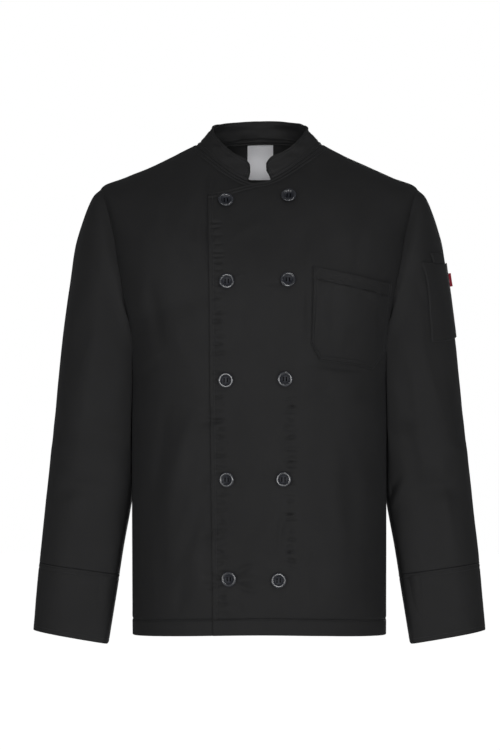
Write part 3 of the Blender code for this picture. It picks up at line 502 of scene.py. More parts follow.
PUCKER_STRIPS = (
    # x and z of its top, x and z of its foot, half_length, gap, depth
    (-0.0605, -0.110, -0.0530, -0.665, 0.0125, 0.0080, 0.0030),
    (0.0450, -0.360, 0.0440, -0.600, 0.0120, 0.0078, 0.0034),
)
print(len(FRONT_CREASES), "creases on the front,", len(BACK_CREASES), "on the back")


def place_puckers(strips):
    """Little tucks across each row of sewing, as creases. No two have the same size or gap."""
    chance = random.Random(7)
    tucks = []
    for top_x, top_z, foot_x, foot_z, half_length, gap, depth in strips:
        z = top_z
        while z > foot_z:
            share = (z - foot_z) / (top_z - foot_z)
            strength = chance.uniform(0.35, 1.0)
            tucks.append((
                foot_x + (top_x - foot_x) * share + chance.uniform(-0.002, 0.002), z,
                half_length * chance.uniform(0.6, 1.3), chance.uniform(0.0019, 0.0027),
                90 + chance.uniform(-9, 9), chance.uniform(-0.001, 0.001), -depth * strength,
            ))
            z -= gap * chance.uniform(0.75, 1.6)
    return tucks


PUCKERS = place_puckers(PUCKER_STRIPS)
FRONT_CREASES += tuple(PUCKERS)
print(len(PUCKERS), "puckers")


SEAT_DEPTH, SEAT_RADIUS = 0.0017, 0.0105


def button_seats(x, z):
    """A button's shank draws the cloth in."""
    height = np.zeros(np.shape(x))
    for closing_x, closing_z, other_x, other_z in BUTTON_ROWS:
        for button_x, button_z in ((closing_x, closing_z), (other_x, other_z)):
            apart = (x - button_x) ** 2 + (z - button_z) ** 2
            height = height - SEAT_DEPTH * np.exp(-apart / SEAT_RADIUS**2)
    return height


# %% Laying cloth on the forms
TURN_OVER = 0.3  # how slowly the creases of the front and back fade towards the sides
BESIDE_FROM, BESIDE_OVER, ABOVE_UNDERARM = 0.80, 0.15, 0.03  # the trunk's side, by its turn
INSIDE_FROM, INSIDE_OVER, CAP_SLACK = 0.75, 0.2, 0.3  # the sleeve's inner side, by its turn
CALM_BESIDE, CALM_INSIDE = 0.8, 0.85  # how much smoother the cloth is where sleeve and trunk meet


def front_and_back(turn):
    return smoothstep(-np.sin(turn) / TURN_OVER), smoothstep(np.sin(turn) / TURN_OVER)


def trunk_folds(angle, level):
    return fold_height(TRUNK_FOLDS, angle, level, TRUNK_RADIUS, 1.0)


def trunk_drape(points, angle, level):
    """How far the cloth of the trunk stands off its form."""
    x, z = points[..., 0], points[..., 2]
    front, back = front_and_back(angle)
    beside = smoothstep((np.abs(np.cos(angle)) - BESIDE_FROM) / BESIDE_OVER)
    beside = beside * (level < UNDERARM_LEVEL + ABOVE_UNDERARM)
    on_front = crease_height(FRONT_CREASES, x, z) + button_seats(x, z)
    height = on_front * front + crease_height(BACK_CREASES, x, z) * back
    return trunk_folds(angle, level) + (height + slack(points)) * (1 - CALM_BESIDE * beside)


def sleeve_drape(points, turn, along, side):
    """The same for a sleeve, whose creases are its own on the left (1) and the right (-1)."""
    x, z = points[..., 0] * side, points[..., 2]
    front, back = front_and_back(turn)
    inside = smoothstep((-np.cos(turn) - INSIDE_FROM) / INSIDE_OVER)
    height = crease_height(SLEEVE_FRONT_CREASES, x, z) * front
    height = height + crease_height(SLEEVE_BACK_CREASES, x, z) * back
    broad = fold_height(SLEEVE_FOLDS, turn, along, SLEEVE_RADIUS, SLEEVE_LENGTH)
    fade = smoothstep(along / FOLDS_OVER)
    slack_share = CAP_SLACK + (1 - CAP_SLACK) * fade
    height = height + slack(points * np.array([side, 1.0, 1.0])) * slack_share
    return broad * fade + height * (1 - CALM_INSIDE * inside)


# %% [markdown]
# ## Nets of points
# Each piece is a net: rows and columns of points on a form, between four edges. The rows and
# columns stand closer together along a sewn edge, so that the fold of the cloth and its stitches
# have room.

# %% Spacing and edges
def spaced(length, step, fine, start=0.0, end=0.0):
    """Shares from 0 to 1, `step` apart, or `fine` apart within `start` and `end` of the ends."""
    near, far = np.zeros(1), np.array([length])
    if start:
        near = np.linspace(0, start, max(1, round(start / fine)) + 1)
    if end:
        far = np.linspace(length - end, length, max(1, round(end / fine)) + 1)
    middle = np.linspace(near[-1], far[0], max(1, round((far[0] - near[-1]) / step)) + 1)
    return np.concatenate([near, middle[1:-1], far]) / length


ARMHOLE_TURNS = np.radians([180, 152, 132, 114, 97, 80, 63, 47, 32, 16, 0])
SIDE_ROWS, ARM_ROWS, SHOULDER_ROWS = 11, 10, 7
EDGE_ROWS = SIDE_ROWS + ARM_ROWS + SHOULDER_ROWS
COLLAR_END_X = 0.0165
DROP_FROM = 0.5


def edge_marks(step, arm_parts):
    """Where the rows of a panel stand on its outer edge: side seam, armhole, then shoulder seam."""
    side = spaced(UNDERARM_LEVEL, step, 0.0017, start=0.027) * SIDE_ROWS
    arm = np.linspace(0, ARM_ROWS, ARM_ROWS * arm_parts + 1) + SIDE_ROWS
    shoulder = spaced(0.16, 0.0034, 0.0014, end=0.012) * SHOULDER_ROWS + SIDE_ROWS + ARM_ROWS
    return np.concatenate([side, arm[1:], shoulder[1:]])


def outer_edge(side, marks):
    """A panel's side seam, armhole and shoulder seam. The side is -1 for a front, 1 for a back."""
    on_arm = np.clip(marks - SIDE_ROWS, 0, ARM_ROWS)
    turns = np.interp(on_arm, np.arange(ARM_ROWS + 1), ARMHOLE_TURNS)
    arm_angles, arm_levels = armhole(side * turns)
    share = np.clip((marks - SIDE_ROWS - ARM_ROWS) / SHOULDER_ROWS, 0, 1)
    below, above = marks < SIDE_ROWS, marks > SIDE_ROWS + ARM_ROWS
    levels = np.where(below, UNDERARM_LEVEL * marks / SIDE_ROWS, arm_levels)
    levels = np.where(above, SHOULDER_LEVEL + share * (NECK_LEVEL - SHOULDER_LEVEL), levels)
    angles = np.where(below, 0.0, arm_angles)
    angles = np.where(above, SEAM_AT_ARM + share * (SEAM_AT_NECK - SEAM_AT_ARM), angles)
    gap = side * SEAM_GAP / 2 / smooth(TRUNK, "level", "half_width", levels)
    return np.stack([angles + gap, levels], axis=-1)


def coons(start, end, foot, top, v, u):
    """A net between four edges that meet at the corners, at the shares v up and u across."""
    v, u = v[:, None, None], u[None, :, None]
    across = (1 - u) * start[:, None] + u * end[:, None]
    upward = (1 - v) * foot[None, :] + v * top[None, :]
    corners = (1 - v) * ((1 - u) * start[0] + u * end[0]) + v * ((1 - u) * start[-1] + u * end[-1])
    return across + upward - corners


def run_of(points, axis=0):
    """Distances along a line from its start, or up (0) or across (1) a net from its edge."""
    steps = np.linalg.norm(np.diff(points, axis=axis), axis=-1)
    return np.insert(np.cumsum(steps, axis), 0, 0.0, axis=axis)


def read_line(at, run, line):
    """The values of a line at some distances along it."""
    return np.stack([np.interp(at, run, line[:, k]) for k in range(line.shape[1])], -1)


def follow(path, shares):
    """The places at some shares of the length of a line through points."""
    path = np.asarray(path, float)
    run = run_of(path)
    return read_line(shares * run[-1], run, path)


def find_on_front(x, z):
    """The angle and level of the point of the front that is seen at x and z."""
    x, z = np.broadcast_arrays(np.asarray(x, float), np.asarray(z, float))
    level = np.clip(z - HEM_FRONT_Z, 0.0, NECK_LEVEL)
    angle = np.full(x.shape, -math.pi / 2)
    for _ in range(30):
        for _ in range(2):
            angle = angle + (trunk(angle, level)[..., 0] - x) / FRONT_RADIUS * np.sin(angle)
        level = np.clip(level + 0.7 * (z - trunk(angle, level)[..., 2]), 0.0, NECK_LEVEL)
    return angle, level


def trunk(angle, level):
    """The trunk with its broad folds, as the solids have it."""
    points, normals = with_normals(plain_trunk, angle, level)
    return points + normals * trunk_folds(angle, level)[..., None]


def overlap_lift(points):
    return OVERLAP_LIFT * smoothstep((LIFT_FROM - points[..., 0]) / LIFT_OVER)


NECK_SHARE = 0.6  # of a front's columns, those that end at the neck and not at the lap


def foot_between(start, end, u):
    """The hem's edge of a panel."""
    return np.stack([start[0, 0] + (end[0, 0] - start[0, 0]) * u, np.zeros(len(u))], -1)


def front_net(top_points, hem_x, marks, columns_in, columns_lap):
    """The net of a front, for the wearer's left: its angles and levels."""
    start = outer_edge(-1, marks)
    top_angle, top_level = find_on_front(*np.array(top_points).T)
    end_angle = float(front_angle(np.array([COLLAR_END_X]), np.array([NECK_LEVEL]))[0])
    neck_angles = start[-1, 0] + (end_angle - start[-1, 0]) * columns_in
    neck = np.stack([neck_angles, np.full(neck_angles.shape, NECK_LEVEL)], axis=-1)
    lap = np.concatenate([neck[-1:], np.stack([top_angle, top_level], axis=-1)])
    top = np.concatenate([neck, follow(lap, columns_lap)[1:]])
    ease = smoothstep((start[:, 1] - DROP_FROM) / (NECK_LEVEL - DROP_FROM))
    end_levels = start[:, 1] - (NECK_LEVEL - top_level[-1]) * ease
    edge_x = hem_x + (top_points[-1][0] - hem_x) * end_levels / top_level[-1]
    end = np.stack([front_angle(edge_x, end_levels), end_levels], axis=-1)
    end[-1] = top[-1]
    u = np.concatenate([columns_in * NECK_SHARE, NECK_SHARE + columns_lap[1:] * (1 - NECK_SHARE)])
    return coons(start, end, foot_between(start, end, u), top, marks / EDGE_ROWS, u)


def back_net(marks, u):
    start = outer_edge(1, marks)
    end = np.stack([math.pi - start[:, 0], start[:, 1]], axis=-1)
    across = start[-1, 0] + (end[-1, 0] - start[-1, 0]) * u
    top = np.stack([across, np.full(len(u), NECK_LEVEL)], -1)
    return coons(start, end, foot_between(start, end, u), top, marks / EDGE_ROWS, u)


# %% Turning a net's edges
GROOVE_RADIUS = 0.0013


def net_normals(points, outward):
    """The net's own unit normals, on the side that `outward` tells."""
    normals = unit(np.cross(np.gradient(points, axis=1), np.gradient(points, axis=0)))
    agree = np.sign(np.sum(normals * outward, axis=-1, keepdims=True))
    return normals * np.where(agree == 0, 1.0, agree)


def edge_first(array, edge):
    """A net's rows or columns in order from one of its edges: start, end, foot or top."""
    array = array.swapaxes(0, 1) if edge in ("start", "end") else array
    return array[::-1] if edge in ("end", "top") else array


def edge_back(array, edge):
    """Undoes `edge_first`."""
    array = array[::-1] if edge in ("end", "top") else array
    return array.swapaxes(0, 1) if edge in ("start", "end") else array


def seam_roll(net, edges, depth=0.0007, reach=0.0016):
    """Cloth dips a little where it is sewn to the next piece."""
    points, normals = net
    fall = np.zeros(points.shape[:2])
    across, upward = run_of(points, 1), run_of(points, 0)
    distances = {"start": across, "end": across[:, -1:] - across,
                 "foot": upward, "top": upward[-1:] - upward}
    for edge in edges:
        fall = np.maximum(fall, np.exp(-((distances[edge] / reach) ** 2)))
    return points - normals * (depth * fall)[..., None], normals


def tuck(net, edge, rows, depth=0.0007, pucker=0.0005, spacing=0.009, seed=60):
    """Sewing draws the cloth in: a groove under each row, and small puckers beside it."""
    points, normals = net
    ordered = edge_first(points, edge)
    from_edge = run_of(ordered)
    along = np.broadcast_to(run_of(ordered[0]), from_edge.shape)
    line = np.stack([along + 0.2 * from_edge, np.zeros_like(along), np.zeros_like(along)], axis=-1)
    finer = 0.5 * wander(line, (spacing * 0.5, 1, 1), seed + 1)
    ripple = wander(line, (spacing, 1, 1), seed) + finer
    strong = 0.6 + 0.4 * wander(line, (spacing * 7, 1, 1), seed + 2)
    height = np.zeros(from_edge.shape)
    for row in rows:
        height -= depth * np.exp(-(((from_edge - row) / GROOVE_RADIUS) ** 2))
    from_rows = (from_edge - np.mean(rows)) / (0.6 * max(rows) + 0.002)
    height += pucker * ripple * strong * np.exp(-(from_rows**2))
    return points + normals * edge_back(height, edge)[..., None], normals


def turned_edge(net, edge, radius=0.0008, facing=0.012, steps=5, facing_step=0.004,
                bend=math.pi, inset=False):
    """The cloth's edge folded to its inside, with a narrow facing. Adds rows or columns to a net.
    An inset fold ends where the net did, as a sewn edge does. A free one goes past it."""
    points, normals = (edge_first(array, edge) for array in net)
    tip, tip_normal = points[0], normals[0]
    away = tip - points[1]
    away = unit(away - tip_normal * np.sum(away * tip_normal, axis=-1, keepdims=True))
    if inset:
        tip = tip - away * radius
        points = np.concatenate([tip[None], points[1:]])
    rows, row_normals = [], []
    for turn in np.linspace(0, bend, steps + 1)[1:]:
        inward = tip_normal * radius * (1 - math.cos(turn))
        rows.append(tip + away * radius * math.sin(turn) - inward)
        row_normals.append(tip_normal * math.cos(turn) + away * math.sin(turn))
    onward = away * math.cos(bend) - tip_normal * math.sin(bend)
    for k in range(1, round(facing / facing_step) + 1):
        rows.append(rows[steps - 1] + onward * facing_step * k)
        row_normals.append(tip_normal * math.cos(bend) + away * math.sin(bend))
    points = np.concatenate([np.array(rows[::-1]), points])
    normals = np.concatenate([np.array(row_normals[::-1]), normals])
    return edge_back(points, edge), edge_back(normals, edge)


def sewn_edge(net, edge, bend_deg=108.0, allowance=0.004):
    """The cloth's edge turned in at its seam, as far as its allowance."""
    return turned_edge(net, edge, radius=0.0007, facing=allowance, steps=3,
                       facing_step=allowance / 2, bend=math.radians(bend_deg), inset=True)


# %% [markdown]
# ## From a net to a piece of cloth
# A grid has as many points as the net, so it can be moved onto it point by point. Its UV map is
# in metres, so the weave has one size on every piece. A tube's first and last columns are merged,
# and Solidify then gives the sheet its thickness, on the inside.

# %% Cloth from a net
def switch(mode):
    bpy.ops.object.mode_set(mode=mode)


def deselect():
    if bpy.context.object and bpy.context.object.mode != "OBJECT":
        switch("OBJECT")
    bpy.ops.object.select_all(action="DESELECT")


def add_object(name, data):
    made = bpy.data.objects.new(name, data)
    bpy.context.scene.collection.objects.link(made)
    return made


def count_triangles(mesh):
    return sum(len(face.vertices) - 2 for face in mesh.polygons)


def apply_modifiers(piece):
    bpy.context.view_layer.objects.active = piece
    for modifier in list(piece.modifiers):
        bpy.ops.object.modifier_apply(modifier=modifier.name)


def net_uv(points):
    """Distances across and up a net, from its middle column and its foot, in metres."""
    across, upward = run_of(points, 1), run_of(points, 0)
    middle = points.shape[1] // 2
    across = across - across[:, middle:middle + 1]
    upward = np.broadcast_to(upward[:, middle:middle + 1], upward.shape)
    return np.stack([across, upward], axis=-1)


def sew(name, points, normals, material, thickness, closed):
    """A piece of cloth from a net of points. A closed net's last column is its first again."""
    uv = net_uv(points)
    facing = np.cross(points[:-1, 1:] - points[:-1, :-1], points[1:, :-1] - points[:-1, :-1])
    if np.sum(facing * normals[:-1, :-1]) < 0:
        points, uv = points[:, ::-1], uv[:, ::-1]
    rows, columns = points.shape[:2]
    deselect()
    bpy.ops.mesh.primitive_grid_add(x_subdivisions=columns - 1, y_subdivisions=rows - 1, size=1)
    piece = bpy.context.object
    piece.name = piece.data.name = name + "_cloth"
    mesh = piece.data
    mesh.vertices.foreach_set("co", points.reshape(-1))
    corners = np.empty(len(mesh.loops), np.int32)
    mesh.loops.foreach_get("vertex_index", corners)
    mesh.uv_layers.active.data.foreach_set("uv", uv.reshape(-1, 2)[corners].reshape(-1))
    mesh.update()
    if closed:
        switch("EDIT")
        bpy.ops.mesh.select_all(action="SELECT")
        bpy.ops.mesh.remove_doubles(threshold=1e-5)
        switch("OBJECT")
    if thickness:
        wall = piece.modifiers.new("wall", "SOLIDIFY")
        wall.thickness, wall.offset = thickness, -1.0
        apply_modifiers(piece)
    bpy.ops.object.shade_smooth_by_angle(angle=math.radians(60))
    mesh = piece.data
    mesh.materials.clear()
    mesh.materials.append(material)
    return piece


def dress(name, net, finish="charcoal_twill", thickness=0.0008, closed=False):
    """Makes a piece of cloth in its finish, ties it to its body, and hides the solid that it stands
    for.
    """
    piece = sew(name, *net, woven[finish], thickness, closed)
    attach(piece, "root")
    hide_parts(name)
    print(f"{piece.name}: {count_triangles(piece.data)} triangles")

# %% [markdown]
# ## Finishes
# Twill is a weave whose diagonal ribs catch the light. The ribs are drawn once, in a node group
# that reads the UV map in metres, and every cloth material uses it with its own pitch. The group
# gives a height for the bump, and the same height darkens the colour in the lines between the
# ribs as painted shade.

# %% A node group for woven ribs
def feed(node, inputs):
    """Sets a node's inputs, each to a value or to what another node gives."""
    for key, value in inputs.items():
        if isinstance(value, bpy.types.NodeSocket):
            node.id_data.links.new(value, node.inputs[key])
        else:
            node.inputs[key].default_value = value


def add_node(tree, kind, inputs=None, **settings):
    node = tree.nodes.new("ShaderNode" + kind)
    for name, value in settings.items():
        setattr(node, name, value)
    feed(node, inputs or {})
    return node


def math_node(tree, operation, *values):
    return add_node(tree, "Math", dict(enumerate(values)), operation=operation).outputs[0]


def mottle(tree, where, scale, detail, **more):
    inputs = {"Vector": where, "Scale": scale, "Detail": detail, **more}
    return add_node(tree, "TexNoise", inputs).outputs[0]


def blend(tree, share, dark, light):
    return add_node(tree, "Mix", {0: share, 6: dark, 7: light}, data_type="RGBA").outputs[2]


def bump(tree, height, strength, distance, **more):
    inputs = {"Strength": strength, "Distance": distance, "Height": height, **more}
    return add_node(tree, "Bump", inputs).outputs[0]


def make_weave():
    """Inputs: rib pitch in metres, slope. Outputs: height of the ribs, and a mottle of yarns."""
    tree = bpy.data.node_groups.new("woven_ribs", "ShaderNodeTree")
    for name, way in (("Pitch", "INPUT"), ("Slope", "INPUT"), ("Height", "OUTPUT"),
                      ("Mottle", "OUTPUT")):
        tree.interface.new_socket(name, in_out=way, socket_type="NodeSocketFloat")
    given = tree.nodes.new("NodeGroupInput").outputs
    result = tree.nodes.new("NodeGroupOutput")
    where = add_node(tree, "UVMap").outputs[0]
    place = add_node(tree, "SeparateXYZ", {0: where}).outputs
    across = math_node(tree, "MULTIPLY_ADD", place[1], given["Slope"], place[0])
    turns = math_node(tree, "DIVIDE", across, given["Pitch"])
    rib = math_node(tree, "SINE", math_node(tree, "MULTIPLY", turns, math.tau))
    yarn_pitch = math_node(tree, "MULTIPLY", given["Pitch"], 0.55)
    thread = math_node(tree, "DIVIDE", place[1], yarn_pitch)
    yarn = math_node(tree, "SINE", math_node(tree, "MULTIPLY", thread, math.tau))
    height = math_node(tree, "MULTIPLY_ADD", rib, 0.38, 0.5)
    feed(result, {
        "Height": math_node(tree, "MULTIPLY_ADD", yarn, 0.12, height),
        "Mottle": mottle(tree, where, 900.0, 3.0, Roughness=0.6),
    })
    return tree


weave = make_weave()
print("node group", weave.name, "with", len(weave.nodes), "nodes")

# %% Cloth, tape, satin and resin
def start_material(name):
    material = bpy.data.materials.new(name)
    material.use_nodes = True
    return material, material.node_tree, material.node_tree.nodes["Principled BSDF"]


def woven_material(name, dark, light, pitch, slope, roughness, sheen, depth, sheen_tint):
    """A woven cloth between two colours, mixed by random mottles and by painted shade that darkens
    the lines between the ribs.
    """
    material, tree, shader = start_material(name)
    ribs = add_node(tree, "Group", {"Pitch": pitch, "Slope": slope}, node_tree=weave).outputs
    where = add_node(tree, "TexCoord").outputs["Object"]
    worn = math_node(tree, "MULTIPLY_ADD", mottle(tree, where, 14.0, 4.0), 0.5, -0.05)
    share = math_node(tree, "MULTIPLY_ADD", ribs["Mottle"], 0.5, worn)
    # Painted shade: the colour darkens in the lines between the ribs, by the ribs' height, on every
    # woven finish.
    rib_groove_shade = math_node(tree, "MULTIPLY_ADD", ribs["Height"], 0.8, 0.5)
    share = math_node(tree, "MULTIPLY", share, rib_groove_shade)
    soft = bump(tree, mottle(tree, where, 120.0, 3.0), 0.25, 0.0008)
    feed(shader, {
        "Base Color": blend(tree, share, dark, light),
        "Roughness": math_node(tree, "MULTIPLY_ADD", ribs["Mottle"], 0.12, roughness),
        "Normal": bump(tree, ribs["Height"], 0.8, depth, Normal=soft),
        "Sheen Weight": sheen, "Sheen Roughness": 0.45, "Sheen Tint": sheen_tint,
        "Specular IOR Level": 0.28,
    })
    return material


WOVEN = {  # dark, light, rib pitch, slope, roughness, sheen, depth, sheen's tint
    "charcoal_twill": ((0.013, 0.013, 0.0133, 1), (0.032, 0.032, 0.0331, 1), 0.0009, 1.0,
                       0.62, 0.02, 0.0001, (0.9, 0.93, 1.0, 1)),
    "red_tape": ((0.25, 0.008, 0.02, 1), (0.50, 0.02, 0.05, 1), 0.0012, 0.0,
                 0.55, 0.10, 0.00008, (1.0, 0.8, 0.8, 1)),
    "label_satin": ((0.70, 0.70, 0.72, 1), (0.88, 0.88, 0.91, 1), 0.0004, 2.0,
                    0.30, 0.05, 0.00002, (1.0, 1.0, 1.0, 1)),
}
woven = {name: woven_material(name, *sizes) for name, sizes in WOVEN.items()}


def thread_material(name, dark, light, gloss):
    material, tree, shader = start_material(name)
    ply = mottle(tree, add_node(tree, "TexCoord").outputs["Object"], 1500.0, 2.0)
    feed(shader, {
        "Base Color": blend(tree, ply, dark, light), "Normal": bump(tree, ply, 0.5, 0.0001),
        "Roughness": 0.5, "Specular IOR Level": gloss,
    })
    return material


def resin_material():
    """Resin whose rim is polished and whose dish is duller, as the "polish" of its points says."""
    material, tree, shader = start_material("button_resin")
    where = add_node(tree, "TexCoord").outputs["Object"]
    clouds, scuffs = mottle(tree, where, 180.0, 3.0), mottle(tree, where, 900.0, 2.0)
    polish = add_node(tree, "Attribute", attribute_name="polish").outputs["Fac"]
    dullness = math_node(tree, "MULTIPLY_ADD", polish, -0.26, 0.42)
    feed(shader, {
        "Base Color": blend(tree, clouds, (0.014, 0.0155, 0.021, 1), (0.030, 0.033, 0.044, 1)),
        "Roughness": math_node(tree, "MULTIPLY_ADD", scuffs, 0.14, dullness),
        "Coat Weight": math_node(tree, "MULTIPLY", polish, 0.8),
        "Specular IOR Level": math_node(tree, "MULTIPLY_ADD", polish, 0.55, 0.32),
        "Normal": bump(tree, clouds, 0.06, 0.0002), "Coat Roughness": 0.12,
    })
    return material


thread = thread_material(
    "charcoal_thread", (0.016, 0.016, 0.018, 1), (0.060, 0.060, 0.064, 1), 0.4)
bar_thread = thread_material(
    "black_thread", (0.001, 0.001, 0.0015, 1), (0.005, 0.005, 0.006, 1), 0.04)
resin = resin_material()
print("finishes:", *woven, thread.name, resin.name)

# %% [markdown]
# ## Stitches
# A lockstitch shows as short dashes of thread with a small gap between them. One stitch is
# modelled: a small five-sided cylinder whose ends are drawn in and pushed into the cloth. Its
# points are then laid along every row of sewing, so a whole row is one light mesh.

# %% One stitch, and rows of them
def select_end(mesh, axis, side):
    """Leaves a cylinder in edit mode with one of its flat ends selected."""
    switch("EDIT")
    bpy.ops.mesh.select_mode(type="FACE")
    bpy.ops.mesh.select_all(action="DESELECT")
    switch("OBJECT")
    for face in mesh.polygons:
        face.select = face.normal[axis] * side > 0.9
    switch("EDIT")


def extrude(x, y, z):
    bpy.ops.mesh.extrude_region_move(TRANSFORM_OT_translate={"value": (x, y, z)})


def model_stitch():
    """A stitch one unit long on x and of radius 1, lying on z = 0."""
    deselect()
    bpy.ops.mesh.primitive_cylinder_add(
        vertices=5, radius=1.0, depth=0.6, rotation=(0, math.pi / 2, 0))
    bpy.ops.object.transform_apply(location=False, rotation=True, scale=False)
    one = bpy.context.object
    for side in (-1, 1):
        select_end(one.data, 0, side)
        extrude(side * 0.2, 0, -0.7)
        bpy.ops.transform.resize(value=(1, 0.45, 0.45), center_override=(side * 0.5, 0, -0.7))
    switch("OBJECT")
    points = np.array([v.co[:] for v in one.data.vertices])
    faces = [tuple(f.vertices) for f in one.data.polygons]
    bpy.data.objects.remove(one, do_unlink=True)
    return points, faces


STITCH_POINTS, STITCH_FACES = model_stitch()
STITCH_LENGTH, STITCH_PITCH, THREAD_RADIUS = 0.0023, 0.0029, 0.00026
THREAD_FLATNESS, THREAD_RISE = 0.8, 0.45  # pressed into the cloth: its height and its middle


def stitch_rows(name, rows):
    """Stitches along some lines. Each line is a pair: its points, and the normals there."""
    all_points, faces, count = [], [], 0
    for points, normals in rows:
        run = run_of(points)
        number = max(1, int(run[-1] / STITCH_PITCH))
        for middle in (np.arange(number) + 0.5) * run[-1] / number:
            ends = middle + np.array([-0.5, 0.5]) * STITCH_LENGTH
            a, b = (read_line(end, run, points) for end in ends)
            up = unit(read_line(middle, run, normals))
            along = b - a
            along = along - up * np.dot(along, up)
            length = np.linalg.norm(along)
            if length < 1e-6:
                continue
            along = along / length
            aside = np.cross(up, along)
            size = np.array([length, THREAD_RADIUS, THREAD_RADIUS * THREAD_FLATNESS])
            local = STITCH_POINTS * size
            local[:, 2] += THREAD_RADIUS * THREAD_RISE
            all_points.append((a + b) / 2 + local @ np.stack([along, aside, up]))
            start = count * len(STITCH_POINTS)
            faces.extend(tuple(i + start for i in face) for face in STITCH_FACES)
            count += 1
    mesh = bpy.data.meshes.new(name)
    mesh.from_pydata(np.concatenate(all_points).tolist(), [], faces)
    piece = add_object(name, mesh)
    mesh.shade_smooth()
    mesh.materials.append(thread)
    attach(piece, "root")
    print(f"{name}: {count} stitches")


SEARCH_ROWS = 60  # a row of sewing lies within this many rows or columns of its edge


def line_inside(net, edge, distance, start=0.0, end=0.0):
    """A line on a net at a distance from one of its edges, less its first and last metres."""
    points, normals = (edge_first(array, edge)[:SEARCH_ROWS].swapaxes(0, 1) for array in net)
    runs = [run_of(row) for row in points]
    line, ups = (
        np.array([read_line(distance, run, row) for run, row in zip(runs, rows)])
        for rows in (points, normals)
    )
    run = run_of(line)
    kept = (run >= start) & (run <= run[-1] - end)
    return line[kept], ups[kept]


def lines_inside(net, edges, distances, start=0.0, end=0.0):
    return [line_inside(net, edge, far, start, end) for edge in edges for far in distances]


# %% [markdown]
# ## The fronts
# A double-breasted front is one panel that runs from the side seam past the middle, so the
# wearer's left front lies over the right one. Its front edge and top edge are turned in and
# stitched down.

# %% The fronts' nets
LAP_TOP = (
    (0.0035, -0.0503), (-0.0062, -0.0514), (-0.0206, -0.0549), (-0.0392, -0.0604),
    (-0.0506, -0.0628), (-0.0728, -0.0672),
)
UNDERLAP_TOP = ((-0.0040, -0.0505), (-0.0300, -0.0600))
LAP_HEM_X = -0.0647
UNDERLAP_X, UNDERLAP_TOP_Z = 0.0640, -0.0800


# How far from an edge its rows of sewing lie, and the grooves that they press into the cloth.
EDGE_ROW, HEM_ROW, TOP_ROWS = 0.0060, 0.0220, (0.0030, 0.0085)
HEM_SPACING = 0.012
SIDE_BEND_DEG, SIDE_ALLOWANCE = 62.0, 0.005  # it runs on under the sleeve, so no light passes
INNER_WIDTH, LAP_WIDTH, BACK_WIDTH = 0.2, 0.135, 0.44  # of the panels, to space their columns


def lay_on_trunk(angle, level, lift):
    """The trunk's cloth, `lift` of its points further out."""
    points, outward = with_normals(plain_trunk, angle, level)
    height = trunk_drape(points, angle, level) + lift(points)
    points = points + outward * height[..., None]
    return points, net_normals(points, outward)


def lay_front(side, top_points, hem_x, marks, step_in, step_lap, seed):
    columns_in = spaced(INNER_WIDTH, step_in, 0.0015, start=0.003)
    columns_lap = spaced(LAP_WIDTH, step_lap, 0.0012, end=0.0108)
    net = front_net(top_points, hem_x, marks, columns_in, columns_lap)
    angle, level = np.moveaxis(net, -1, 0)
    angle = angle if side > 0 else math.pi - angle
    net = lay_on_trunk(angle, level, overlap_lift if side > 0 else lambda points: 0.0)
    net = tuck(net, "end", (EDGE_ROW,), seed=seed)
    net = tuck(net, "top", TOP_ROWS, depth=0.0011, pucker=0.0004, seed=seed + 3)
    return tuck(net, "foot", (HEM_ROW,), depth=0.0018, spacing=HEM_SPACING, seed=seed + 6)


left_net = lay_front(1, LAP_TOP, LAP_HEM_X, edge_marks(0.0018, 12), 0.0055, 0.0026, 61)
mirrored_top = (*UNDERLAP_TOP, (-UNDERLAP_X, UNDERLAP_TOP_Z))
right_net = lay_front(-1, mirrored_top, -UNDERLAP_X, edge_marks(0.0032, 7), 0.0034, 0.0042, 70)
for name, net in (("front_left", left_net), ("front_right", right_net)):
    net = sewn_edge(sewn_edge(net, "start", SIDE_BEND_DEG, SIDE_ALLOWANCE), "top")
    net = turned_edge(net, "end", radius=0.0012)
    net = turned_edge(net, "foot", radius=0.0010, facing=0.020)
    dress(name, net)

# %% The back
back_across = spaced(BACK_WIDTH, 0.0046, 0.0015, start=0.003, end=0.003)
angle, level = np.moveaxis(back_net(edge_marks(0.0038, 7), back_across), -1, 0)
back_cloth = lay_on_trunk(angle, level, lambda points: 0.0)
back_cloth = tuck(
    back_cloth, "foot", (HEM_ROW,), pucker=0.0003, spacing=HEM_SPACING, seed=79)
net = back_cloth
for edge in ("start", "end"):
    net = sewn_edge(net, edge, SIDE_BEND_DEG, SIDE_ALLOWANCE)
net = turned_edge(sewn_edge(net, "top"), "foot", facing=0.020)
dress("back", net)

# %% [markdown]
# ## Sleeves and cuffs
# A sleeve is one tube. Its first ring follows the armhole's edge and laps it, so the seam closes.

# %% Sleeves and cuffs
CUFF_GAP = 0.0002  # either side of the seam between a sleeve and its cuff
CUFF_LENGTH, CUFF_LIFT = 0.105, 0.0004
RIM_SHARE, OWN_SHARE = 0.01, 0.07  # of the sleeve, where it turns from the trunk's way to its own
CUFF_ROWS, CUFF_TOP_ROW = (0.0018, 0.0075), 0.0060


def ring_turns():
    parts = np.linspace(0, ARM_ROWS, ARM_ROWS * 7 + 1)
    half = np.interp(parts, np.arange(ARM_ROWS + 1), ARMHOLE_TURNS)[::-1]
    return np.concatenate([half, -half[-2::-1]])


